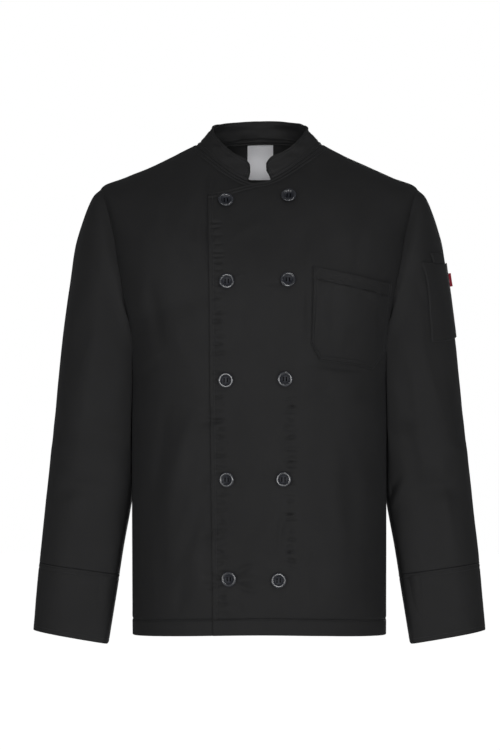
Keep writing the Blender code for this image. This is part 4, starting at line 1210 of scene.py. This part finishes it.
def lay_sleeve(side, along, lift=0.0):
    turn, along = np.meshgrid(ring_turns(), along)
    flip = np.array([side, 1.0, 1.0])
    points, outward = with_normals(sleeve_form, turn, along)
    outward = -outward
    hole_angle, hole_level = armhole(turn, CAP_GAP)
    hole, rim = with_normals(plain_trunk, hole_angle, hole_level)
    share = (np.clip(1 - along / RIM_SHARE, 0, 1) * (1 + np.cos(turn)) / 2)[..., None]
    outward = unit(outward * (1 - share) + rim * share)
    own = smoothstep(along / OWN_SHARE)
    hole = hole * flip
    hole_angle = hole_angle if side > 0 else math.pi - hole_angle
    lifts = trunk_drape(hole, hole_angle, hole_level)
    if side > 0:
        lifts = lifts + overlap_lift(hole) * (np.sin(hole_angle) < 0)
    points = points + outward * (sleeve_drape(points, turn, along, side) * own + lift)[..., None]
    points = points + rim * (lifts * (1 - own))[..., None]
    points, outward = points * flip, outward * flip
    return points, net_normals(points, outward)


sleeve_rows = spaced(SLEEVE_LENGTH * CUFF_AT, 0.0032, 0.0014, start=0.006, end=0.004)
sleeve_along = sleeve_rows * (CUFF_AT - CUFF_GAP)
cuff_rows = spaced(CUFF_LENGTH, 0.0028, 0.0013, start=0.012, end=0.010)
cuff_along = CUFF_AT + CUFF_GAP + cuff_rows * (1 - CUFF_AT - CUFF_GAP)
cuffs = {}
for side, word in ((1, "left"), (-1, "right")):
    net = sewn_edge(lay_sleeve(side, sleeve_along), "foot", 50.0, 0.007)
    dress(f"sleeve_{word}", sewn_edge(net, "top"),
          closed=True)
    cuffs[word] = lay_sleeve(side, cuff_along, CUFF_LIFT)
    cuffs[word] = tuck(cuffs[word], "foot", CUFF_ROWS, pucker=0.0002, seed=82)
    net = sewn_edge(cuffs[word], "foot")
    net = turned_edge(net, "top", radius=0.0011, facing=0.10, facing_step=0.008)
    dress(f"cuff_{word}", net, closed=True)

# %% [markdown]
# ## The collar
# A stand collar is a band of double cloth. Its two layers are one folded piece here: up the
# outside, over the top edge and down the inside. Its front ends are rounded.

# %% The collar
COLLAR = read_table(("share", "height", "lean_deg"), (
    (0.00, 0.0315, 13.0),
    (0.25, 0.0353, 31.0),
    (0.45, 0.0400, 44.0),
    (0.60, 0.0340, 38.0),
    (0.80, 0.0305, 26.0),
    (1.00, 0.0310, 10.0),
))
COLLAR_CORNER, COLLAR_TURN, COLLAR_FLARE = 0.013, 1.6, math.radians(12.0)
COLLAR_TOWARD = 0.22, 0.08  # how far the left and the right end lean to the middle, by height
COLLAR_SWELLS = ((0.0014, (0.030, 0.030, 0.020), 5), (0.0011, (0.022, 0.022, 0.008), 6))
COLLAR_FOOT_ROWS, COLLAR_END_ROWS = (0.0020, 0.0075), (0.0040, 0.0075)
COLLAR_TOP_GROOVES, COLLAR_TOP_ROW = (0.0042, 0.0075), 0.0045
COLLAR_THICKNESS, COLLAR_RIM, COLLAR_ALLOWANCE = 0.0022, 0.0009, 0.004
# The inner layer's soft fold: its depth, the row it lies at, how far it bows, its half width.
SAG_DEPTH, SAG_ROW, SAG_BOW, SAG_WIDTH, SAG_RIPPLE = 0.0022, 0.34, 0.10, 0.17, 0.0010


def lay_collar():
    end_angle = float(front_angle(np.array([COLLAR_END_X]), np.array([NECK_LEVEL]))[0])
    edges = [outer_edge(side, np.array([float(EDGE_ROWS)]))[0, 0] for side in (-1, 1)]
    front = edges[0] + (end_angle - edges[0]) * spaced(0.10, 0.0020, 0.0012, end=0.016)
    around = np.linspace(math.pi - edges[1], edges[1], 110)
    angles = np.concatenate([(math.pi - front)[::-1][:-1], around, front[1:]])
    levels = np.full(angles.shape, NECK_LEVEL)
    base, normals = with_normals(plain_trunk, angles, levels)
    on_left_front = np.arange(len(angles)) >= len(front) + len(around) - 2
    lift = np.where(on_left_front, overlap_lift(base), 0.0)
    drape = trunk_drape(base, angles, levels)
    base = base + normals * (lift + drape)[:, None]
    run = run_of(base)
    share = run / run[-1] * 2 - 1
    height = smooth(COLLAR, "share", "height", np.abs(share))
    lean = np.radians(smooth(COLLAR, "share", "lean_deg", np.abs(share)))
    inward = unit(-base * np.array([1.0, COLLAR_TURN, 0.0]))
    from_end = np.minimum(run, run[-1] - run)
    short = np.clip(COLLAR_CORNER - from_end, 0.0, COLLAR_CORNER)
    height = height - (COLLAR_CORNER - np.sqrt(COLLAR_CORNER**2 - short**2))
    rows = spaced(0.038, 0.0022, 0.0012, start=0.004, end=0.006)[:, None]
    # The band leans in more at its foot than at its top, so that it flows out of the shoulder.
    leans = lean + COLLAR_FLARE * (1 - 2 * (rows[1:] + rows[:-1]) / 2)
    ease_in = 1.0 - 0.035 * np.cos(share * math.pi / 2)
    steps = np.diff(rows, axis=0) * (height - SEAM_GAP) * ease_in
    up, inside = (
        np.concatenate([np.zeros((1, len(run))), np.cumsum(part(leans) * steps, axis=0)])
        for part in (np.cos, np.sin)
    )
    points = base + inward * inside[..., None]
    points[..., 2] += up + SEAM_GAP
    toward = np.where(share > 0, COLLAR_TOWARD[0], -COLLAR_TOWARD[1])
    points[..., 0] -= toward * smoothstep((np.abs(share) - 0.88) / 0.12) * up
    normals = net_normals(points, np.broadcast_to(-inward, points.shape))
    swell = sum(height * wander(points, size, seed) for height, size, seed in COLLAR_SWELLS)
    return points + normals * (swell * np.clip(rows / 0.5, 0, 1))[..., None], normals


collar_net = tuck(lay_collar(), "foot", COLLAR_FOOT_ROWS, depth=0.0014, seed=85)
collar_net = tuck(collar_net, "top", COLLAR_TOP_GROOVES, depth=0.0010, pucker=0.0003, seed=88)
for edge in ("start", "end"):
    collar_net = tuck(collar_net, edge, COLLAR_END_ROWS, pucker=0.0002, seed=91)


def fold_collar(net):
    """Both layers of the collar: up the outside, over the rim and down the inside."""
    points, normals = seam_roll(net, ("foot",))
    share = np.linspace(-1, 1, points.shape[1])[None, :]
    row = np.linspace(0, 1, len(points))[:, None]
    # The inner layer sags into a soft fold at the back of the neck.
    fold = SAG_DEPTH * np.exp(-(((row - SAG_ROW - SAG_BOW * share**2) / SAG_WIDTH) ** 2))
    fold = fold * smoothstep((0.72 - np.abs(share)) / 0.3)
    ripple = SAG_RIPPLE * wander(points, (0.020, 0.020, 0.008), 7)
    fold = fold + ripple * smoothstep(row / 0.3)
    inner = points - normals * (COLLAR_THICKNESS + np.maximum(fold, 0.0))[..., None]
    allowance = unit(inner[0] - inner[1]) * COLLAR_ALLOWANCE
    inner = np.concatenate([(inner[0] + allowance)[None], inner])
    rim = unit(points[-1] - points[-2]) * COLLAR_RIM
    top = (points[-1] + inner[-1]) / 2 + rim
    outer_shoulder = points[-1] - normals[-1] * 0.0003 + rim * 0.7
    inner_shoulder = inner[-1] + normals[-1] * 0.0003 + rim * 0.7
    layers = np.concatenate(
        [points, outer_shoulder[None], top[None], inner_shoulder[None], inner[::-1]])
    outward = np.concatenate(
        [normals, normals[-1:], rim[None], -normals[-1:], -normals[::-1], -normals[:1]])
    return layers, outward


dress("collar", fold_collar(collar_net), thickness=0.0006)

# %% [markdown]
# ## Pockets
# A patch pocket is pressed round its edges and sewn down on three sides.

# %% Pockets
CHEST_POCKET_TOP = ((0.0741, -0.1725), (0.1290, -0.1835), (0.1750, -0.1935), (0.1890, -0.1950))
CHEST_POCKET_FOOT = (
    (0.0720, -0.2821), (0.0854, -0.3062), (0.1338, -0.3118), (0.1598, -0.3189), (0.1775, -0.2960),
)
CHEST_POCKET_BULGE = 0.0045
POCKET_CREASES = (
    # tucks in the hem of the pocket's mouth
    (0.0840, -0.184, 0.009, 0.0024, 74.0, 0.002, -0.0016),
    (0.0960, -0.187, 0.010, 0.0028, 110.0, 0.002, -0.0018),
    (0.1080, -0.189, 0.011, 0.0026, 84.0, -0.002, -0.0020),
    (0.1230, -0.193, 0.012, 0.0030, 118.0, 0.003, -0.0024),
    (0.1360, -0.196, 0.011, 0.0028, 100.0, 0.002, -0.0022),
    (0.1500, -0.199, 0.014, 0.0030, 114.0, -0.002, -0.0026),
    (0.1640, -0.203, 0.012, 0.0028, 96.0, 0.002, -0.0024),
    (0.1130, -0.199, 0.020, 0.0040, 102.0, 0.003, 0.0014),
    (0.1600, -0.212, 0.018, 0.0045, 105.0, 0.002, 0.0016),
    # the bag of the pocket
    (0.0900, -0.240, 0.050, 0.0090, 4.0, 0.004, 0.0012),
    (0.1350, -0.270, 0.040, 0.0110, 30.0, 0.006, -0.0012),
    (0.1680, -0.250, 0.045, 0.0070, -4.0, 0.003, -0.0014),
    (0.0800, -0.290, 0.014, 0.0050, 60.0, 0.002, 0.0012),
)
BULGE_FROM, BULGE_TO = 0.15, 0.75
LAY_GAP, PATCH = 0.0005, 0.0021

SUNK_DEPTH, SUNK_REACH = 0.0016, 0.0012
POCKET_ROWS, POCKET_TOP_ROW, PATCH_ROW, PEN_ROW = (0.0015, 0.0065), 0.0170, 0.0015, 0.0012
PATCH_THICKNESS, PATCH_FOLD = 0.0006, 0.0006
SIDES, ALL_SIDES = ("start", "end", "foot"), ("start", "end", "foot", "top")


def sunk_edges(net, edges):
    """The pressed edges of a patch turn down towards the cloth that they are sewn to."""
    return seam_roll(net, edges, SUNK_DEPTH, SUNK_REACH)


def lay_chest_pocket():
    v = spaced(0.135, 0.0018, 0.0010, start=0.009, end=0.006)
    u = spaced(0.115, 0.0018, 0.0010, start=0.009, end=0.009)
    top, foot = follow(CHEST_POCKET_TOP, u), follow(CHEST_POCKET_FOOT, u)
    start = foot[0] + (top[0] - foot[0]) * v[:, None]
    end = foot[-1] + (top[-1] - foot[-1]) * v[:, None]
    x, z = np.moveaxis(coons(start, end, foot, top, v, u), -1, 0)
    angle, level = find_on_front(x, z)
    points, outward = with_normals(plain_trunk, angle, level)
    rise = np.sin(math.pi * (BULGE_FROM + (BULGE_TO - BULGE_FROM) * v)) ** 2
    bulge = np.sin(u * math.pi)[None] * rise[:, None]
    height = trunk_drape(points, angle, level) + overlap_lift(points) + LAY_GAP + PATCH
    height = height + crease_height(POCKET_CREASES, points[..., 0], points[..., 2])
    points = points + outward * (height + CHEST_POCKET_BULGE * bulge)[..., None]
    return points, net_normals(points, outward)


pocket_net = lay_chest_pocket()
for edge in SIDES:
    pocket_net = tuck(pocket_net, edge, POCKET_ROWS, depth=0.0010, pucker=0.0004, seed=94)
pocket_net = tuck(pocket_net, "top", (POCKET_TOP_ROW,), depth=0.0015, pucker=0.0016,
                  spacing=0.011, seed=97)
net = turned_edge(sunk_edges(pocket_net, SIDES), "top", radius=PATCH_FOLD, facing=0.016)
dress("chest_pocket", net, thickness=PATCH_THICKNESS)

# The pieces on the sleeve: degrees of their front and back sides, then the shares of the sleeve's
# length of their top and foot, each with its dip.
SLEEVE_POCKET = (-71.0, 14.0, 0.2360, 0.175, 0.386, 0.058)
PEN_BAND = (-52.0, -20.0, 0.2087, 0.190, 0.2353, 0.175)
DIP_POWER = 1.4


def lay_sleeve_patch(sizes, v, u):
    front_deg, back_deg, top, top_dip, foot, foot_dip = sizes
    turn = np.radians(front_deg + (back_deg - front_deg) * u)[None, :]
    dip = (1 - np.cos(turn)) ** DIP_POWER
    share = v[:, None]
    along = (foot - foot_dip * dip) * (1 - share) + (top - top_dip * dip) * share
    turn, along = np.broadcast_arrays(turn, along)
    points, outward = with_normals(sleeve_form, turn, along)
    outward = -outward
    height = sleeve_drape(points, turn, along, 1) + LAY_GAP + PATCH
    points = points + outward * height[..., None]
    return points, net_normals(points, outward)


sleeve_pocket_net = lay_sleeve_patch(
    SLEEVE_POCKET, spaced(0.10, 0.0022, 0.0010, start=0.008, end=0.006),
    spaced(0.10, 0.0022, 0.0010, start=0.008, end=0.008))
net = sunk_edges(sleeve_pocket_net, SIDES)
dress("sleeve_pocket", turned_edge(net, "top", radius=PATCH_FOLD, facing=0.012),
      thickness=PATCH_THICKNESS)
pen_net = lay_sleeve_patch(PEN_BAND, spaced(0.018, 0.0012, 0.0008, start=0.003, end=0.003),
                           spaced(0.036, 0.0016, 0.0008, start=0.003, end=0.003))
dress("pen_band", sunk_edges(pen_net, ALL_SIDES),
      thickness=PATCH_THICKNESS)

# %% The red tab
SIDE_TAB_PLACE, SIDE_TAB_FROM, SIDE_TAB_TO = math.radians(16.5), 0.254, 0.282
SIDE_TAB_REACH, TAPE_THICKNESS = 0.0088, 0.0004

along = np.linspace(SIDE_TAB_FROM, SIDE_TAB_TO, 19)
turn = np.full(along.shape, SIDE_TAB_PLACE)
seat, outward = with_normals(sleeve_form, turn, along)
outward = -outward
seat = seat + outward * sleeve_drape(seat, turn, along, 1)[:, None]
reach = LAY_GAP + np.linspace(0, SIDE_TAB_REACH, 9)
points = seat[None] + outward[None] * reach[:, None, None]
tab_net = points, net_normals(points, np.broadcast_to([0.0, -1.0, 0.0], points.shape))
tab_net = turned_edge(tab_net, "top", radius=0.0005, facing=0.006, facing_step=0.001)
dress("side_tab", tab_net, "red_tape", TAPE_THICKNESS)

# %% The label in the neck
LABEL_MIDDLE_X, LABEL_WIDTH, LABEL_FOOT_LEVEL, LABEL_TOP_LEVEL = 0.0018, 0.0385, 0.7205, 0.790
CLOTH, LABEL_TOP_GAP, LABEL_GAP, LABEL_CORNER = 0.0016, 0.0009, 0.0018, 0.006


def lay_label():
    v = spaced(0.068, 0.0016, 0.0008, start=0.007, end=0.003)
    u = spaced(LABEL_WIDTH, 0.0016, 0.0008, start=0.007, end=0.007)
    levels = LABEL_FOOT_LEVEL + (LABEL_TOP_LEVEL - LABEL_FOOT_LEVEL) * v
    from_foot = np.clip(LABEL_CORNER - 0.075 * v, 0, LABEL_CORNER)
    width = LABEL_WIDTH - 2 * (LABEL_CORNER - np.sqrt(LABEL_CORNER**2 - from_foot**2))
    x = LABEL_MIDDLE_X + width[:, None] * (u - 0.5)[None, :]
    depth = smooth(TRUNK, "level", "back_depth", levels)
    angle = np.arctan2(np.broadcast_to(depth[:, None], x.shape), x)
    level = np.broadcast_to(levels[:, None], x.shape)
    points, outward = with_normals(plain_trunk, angle, level)
    gap = LABEL_GAP + (LABEL_TOP_GAP - LABEL_GAP) * smoothstep((v - 0.80) / 0.2)
    height = trunk_drape(points, angle, level) - CLOTH - gap[:, None]
    points = points + outward * height[..., None]
    return points, -net_normals(points, outward)


dress("neck_label", lay_label(), "label_satin", TAPE_THICKNESS)

# %% [markdown]
# ## Buttons
# Each button is turned from resin: a dish inside a raised rim, with four holes. Two bars of
# thread hold it, each through one pair of holes.

# %% One button
BUTTON_RADIUS, BUTTON_THICKNESS, BUTTON_GAP = 0.0110, 0.0044, 0.0014
BUTTON_PROFILE = (
    (0.00, 0.38), (0.30, 0.38), (0.44, 0.41), (0.54, 0.50), (0.61, 0.72), (0.68, 0.92),
    (0.77, 1.00), (0.87, 0.98), (0.95, 0.88), (1.00, 0.68), (0.99, 0.46), (0.94, 0.24),
    (0.84, 0.07), (0.70, 0.00), (0.00, 0.00),
)
HOLE_PLACE, HOLE_RADIUS = 0.0023, 0.00115


def model_button():
    """The outline is spun round z, and the holes are cut with a boolean."""
    deselect()
    points = [(r * BUTTON_RADIUS, 0.0, h * BUTTON_THICKNESS) for r, h in BUTTON_PROFILE]
    bpy.ops.mesh.primitive_plane_add(size=0.001)
    button = bpy.context.object
    switch("EDIT")
    bpy.ops.mesh.delete(type="VERT")
    switch("OBJECT")
    button.data.from_pydata(points, [(i, i + 1) for i in range(len(points) - 1)], [])
    switch("EDIT")
    bpy.ops.mesh.select_all(action="SELECT")
    bpy.ops.mesh.spin(steps=48, angle=math.tau, center=(0, 0, 0), axis=(0, 0, 1))
    bpy.ops.mesh.select_all(action="SELECT")
    bpy.ops.mesh.remove_doubles(threshold=1e-5)
    bpy.ops.mesh.normals_make_consistent(inside=False)
    switch("OBJECT")
    for x in (-1, 1):
        for y in (-1, 1):
            deselect()
            bpy.ops.mesh.primitive_cylinder_add(
                vertices=16, radius=HOLE_RADIUS, depth=0.02,
                location=(x * HOLE_PLACE, y * HOLE_PLACE, 0))
            drill = bpy.context.object
            cut = button.modifiers.new("hole", "BOOLEAN")
            cut.object, cut.operation, cut.solver = drill, "DIFFERENCE", "EXACT"
            apply_modifiers(button)
            bpy.data.objects.remove(drill, do_unlink=True)
    # The rim is polished and the dish is left duller.
    polish = button.data.attributes.new("polish", "FLOAT", "POINT")
    for vertex in button.data.vertices:
        from_middle = math.hypot(vertex.co.x, vertex.co.y) / BUTTON_RADIUS
        polish.data[vertex.index].value = float(smoothstep((from_middle - 0.50) / 0.18))
    return button


STRAND_RADIUS, STRAND_STEP = 0.00030, 0.00045


def model_thread_bars():
    """Two bars of three strands, each between two holes, and a short shank under the button."""
    deselect()
    bars = []
    for x in (-1, 1):
        for strand in (-1, 0, 1):
            rise = BUTTON_THICKNESS * 0.44 + 0.0001 * (strand == 0)
            bpy.ops.mesh.primitive_cylinder_add(
                vertices=8, radius=STRAND_RADIUS, depth=HOLE_PLACE * 2,
                rotation=(math.pi / 2, 0, 0),
                location=(x * HOLE_PLACE + strand * STRAND_STEP, 0, rise))
            bpy.ops.object.transform_apply(location=True, rotation=True, scale=True)
            bar = bpy.context.object
            for end in (-1, 1):
                select_end(bar.data, 1, end)
                extrude(0, end * 0.0002, -0.0003)
                extrude(0, 0, -0.0016)
            switch("OBJECT")
            bars.append(bar)
    deselect()
    bpy.ops.mesh.primitive_cylinder_add(
        vertices=12, radius=0.0022, depth=0.0012, location=(0, 0, -0.0002))
    bpy.ops.object.transform_apply(location=True, rotation=True, scale=True)
    bars.append(bpy.context.object)
    deselect()
    for bar in bars:
        bar.select_set(True)
    bpy.context.view_layer.objects.active = bars[0]
    bpy.ops.object.join()
    return bpy.context.object


button_model = model_button()
bars_model = model_thread_bars()
for model, material in ((button_model, resin), (bars_model, bar_thread)):
    deselect()
    model.select_set(True)
    bpy.context.view_layer.objects.active = model
    bpy.ops.object.shade_smooth_by_angle(angle=math.radians(35))
    model.data.materials.clear()
    model.data.materials.append(material)

# %% Ten buttons
BUTTON_TILTS = (
    (1.5, -1.0), (-1.0, 1.0), (2.0, 0.5), (-1.5, -1.5), (0.5, 2.0), (-3.0, 2.0), (1.0, -2.0),
    (-1.5, 0.5), (2.0, 1.0), (-0.5, -1.5),
)


def dressed_front(angle, level):
    points, normals = with_normals(plain_trunk, angle, level)
    height = trunk_drape(points, angle, level) + overlap_lift(points)
    return points + normals * height[..., None]


def sew_on(name, model, place):
    piece = add_object(name, model.data.copy())
    piece.data.transform(place)
    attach(piece, "root")
    return piece


number = 0
for closing_x, closing_z, other_x, other_z in BUTTON_ROWS:
    for x, z in ((closing_x, closing_z), (other_x, other_z)):
        tilt_x, tilt_y = (math.radians(t) for t in BUTTON_TILTS[number])
        number += 1
        angle, level = find_on_front([x], [z])
        seat, up = with_normals(dressed_front, angle, level, step=0.01)
        seat = Vector(seat[0] + up[0] * BUTTON_GAP)
        facing = Vector(up[0]).to_track_quat("Z", "Y").to_matrix().to_4x4()
        tilt = Matrix.Rotation(tilt_x, 4, "X") @ Matrix.Rotation(tilt_y, 4, "Y")
        place = Matrix.Translation(seat) @ facing @ tilt
        button = sew_on(f"button_{number}_resin", button_model, place)
        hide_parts(f"button_{number}")
        sew_on(f"button_{number}_thread", bars_model, place)
for model in (button_model, bars_model):
    bpy.data.objects.remove(model, do_unlink=True)
print(number, "buttons")

# %% [markdown]
# ## Rows of sewing
# Every turned edge and every seam is held by a row of stitches, or two. Each row is a line at a
# distance from an edge of its net.

# %% Rows of stitches
for word, net in (("left", left_net), ("right", right_net)):
    stitch_rows(f"stitches_front_{word}", [
        line_inside(net, "end", EDGE_ROW, 0.002, 0.002),
        line_inside(net, "foot", HEM_ROW, 0.001, 0.001),
        line_inside(net, "top", TOP_ROWS[0], 0.002, 0.002),
        line_inside(net, "top", TOP_ROWS[1], 0.002, 0.008),
    ])
stitch_rows("stitches_back", [
    line_inside(back_cloth, "foot", HEM_ROW, 0.001, 0.001),
    line_inside(back_cloth, "top", TOP_ROWS[0], 0.002, 0.002),
])
stitch_rows("stitches_collar", [
    line_inside(collar_net, "top", COLLAR_TOP_ROW, 0.003, 0.003),
    line_inside(collar_net, "foot", COLLAR_FOOT_ROWS[0], 0.002, 0.002),
    line_inside(collar_net, "foot", COLLAR_FOOT_ROWS[1], 0.008, 0.008),
] + lines_inside(collar_net, ("start", "end"), COLLAR_END_ROWS, 0.003, 0.006))
for word, net in cuffs.items():
    stitch_rows(f"stitches_cuff_{word}", lines_inside(net, ("foot",), CUFF_ROWS)
                + [line_inside(net, "top", CUFF_TOP_ROW)])
stitch_rows("stitches_chest_pocket", lines_inside(pocket_net, SIDES, POCKET_ROWS, 0.001, 0.001)
            + [line_inside(pocket_net, "top", POCKET_TOP_ROW)])
stitch_rows("stitches_sleeve_pocket",
            lines_inside(sleeve_pocket_net, SIDES, (PATCH_ROW,), 0.001, 0.001)
            + lines_inside(pen_net, ALL_SIDES, (PEN_ROW,), 0.001, 0.001))

# %% [markdown]
# ## The studio
# A pale floor far below, a white surround, large soft lights before, above and behind the jacket,
# and a narrow one on the label.

# %% Floor, world and lights
LIGHTS = (  # name, place, size, power
    ("front", (0.0, -5.7, -0.30), 1.4, 64),
    ("side_left", (-3.2, -4.6, -0.5), 1.4, 27),
    ("side_right", (3.2, -4.6, -0.5), 1.4, 27),
    ("above", (1.5, -3.4, 3.0), 0.9, 15),
    ("behind", (0.8, 5.6, 0.6), 1.8, 70),
)
JACKET_MIDDLE, FLOOR_LEVEL, SURROUND_LIGHT = (0.0, 0.0, -0.36), -1.45, 0.13


def place_light(data, place, target):
    light = add_object(data.name, data)
    light.location = place
    light.rotation_euler = (Vector(target) - Vector(place)).to_track_quat("-Z", "Y").to_euler()
    return light


for name, place, size, power in LIGHTS:
    data = bpy.data.lights.new(name, "AREA")
    data.shape, data.size, data.energy = "SQUARE", size, power
    place_light(data, place, JACKET_MIDDLE)
data = bpy.data.lights.new("label_light", "SPOT")
data.energy, data.spot_size, data.spot_blend = 110, math.radians(1.1), 0.4
data.shadow_soft_size = 0.02
lamp = place_light(data, (LABEL_MIDDLE_X, -2.3, 0.75), (LABEL_MIDDLE_X, 0.075, -0.016))
lamp.scale = (1.8, 1.0, 1.0)  # a wide, low beam

deselect()
bpy.ops.mesh.primitive_plane_add(size=40, location=(0, 0, FLOOR_LEVEL))
floor = bpy.context.object
floor.name = "floor"
floor_material, tree, shader = start_material("pale_floor")
shown = add_node(tree, "LightPath").outputs["Is Camera Ray"]
feed(shader, {
    "Base Color": (0.9, 0.9, 0.9, 1), "Roughness": 0.9, "Emission Color": (1, 1, 1, 1),
    "Emission Strength": math_node(tree, "MULTIPLY", shown, 0.9),
})
floor.data.materials.append(floor_material)
floor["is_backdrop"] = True

world = bpy.data.worlds.new("white_surround")
world.use_nodes = True
tree = world.node_tree
shown = add_node(tree, "LightPath").outputs["Is Camera Ray"]
strength = math_node(tree, "MULTIPLY_ADD", shown, 1.0 - SURROUND_LIGHT, SURROUND_LIGHT)
feed(tree.nodes["Background"], {"Color": (1, 1, 1, 1), "Strength": strength})
bpy.context.scene.world = world
bpy.context.scene.view_settings.view_transform = "Standard"

# %% Camera
CAMERA_PLACE, CAMERA_LENS, SENSOR_WIDTH = (-0.0134, -6.0, -0.326), 198.6, 36.0
camera_data = bpy.data.cameras.new("camera")
camera_data.lens, camera_data.sensor_width = CAMERA_LENS, SENSOR_WIDTH
camera_data.clip_end = 100.0
camera = add_object("camera", camera_data)
camera.location = CAMERA_PLACE
camera.rotation_euler = (math.pi / 2, 0.0, 0.0)
bpy.context.scene.camera = camera

# %% [markdown]
# ## Sizes, and the end
# The count of triangles is printed, and the sizes of the box of the solids and of the cloth,
# which may stand a little proud of them. The cloth has to stay inside the box of the solids,
# but for the little that fabric may stand proud.

# %% Write the sizes and finish
look_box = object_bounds()
total = sum(
    count_triangles(piece.data)
    for piece in bpy.data.objects
    if piece.type == "MESH" and not piece.hide_render and piece.name != "floor"
)
print(total, "triangles in all")
for word, box in (("solids", solid_box), ("cloth", look_box)):
    print(word, [round(b - a, 4) for a, b in zip(box[0], box[1])])
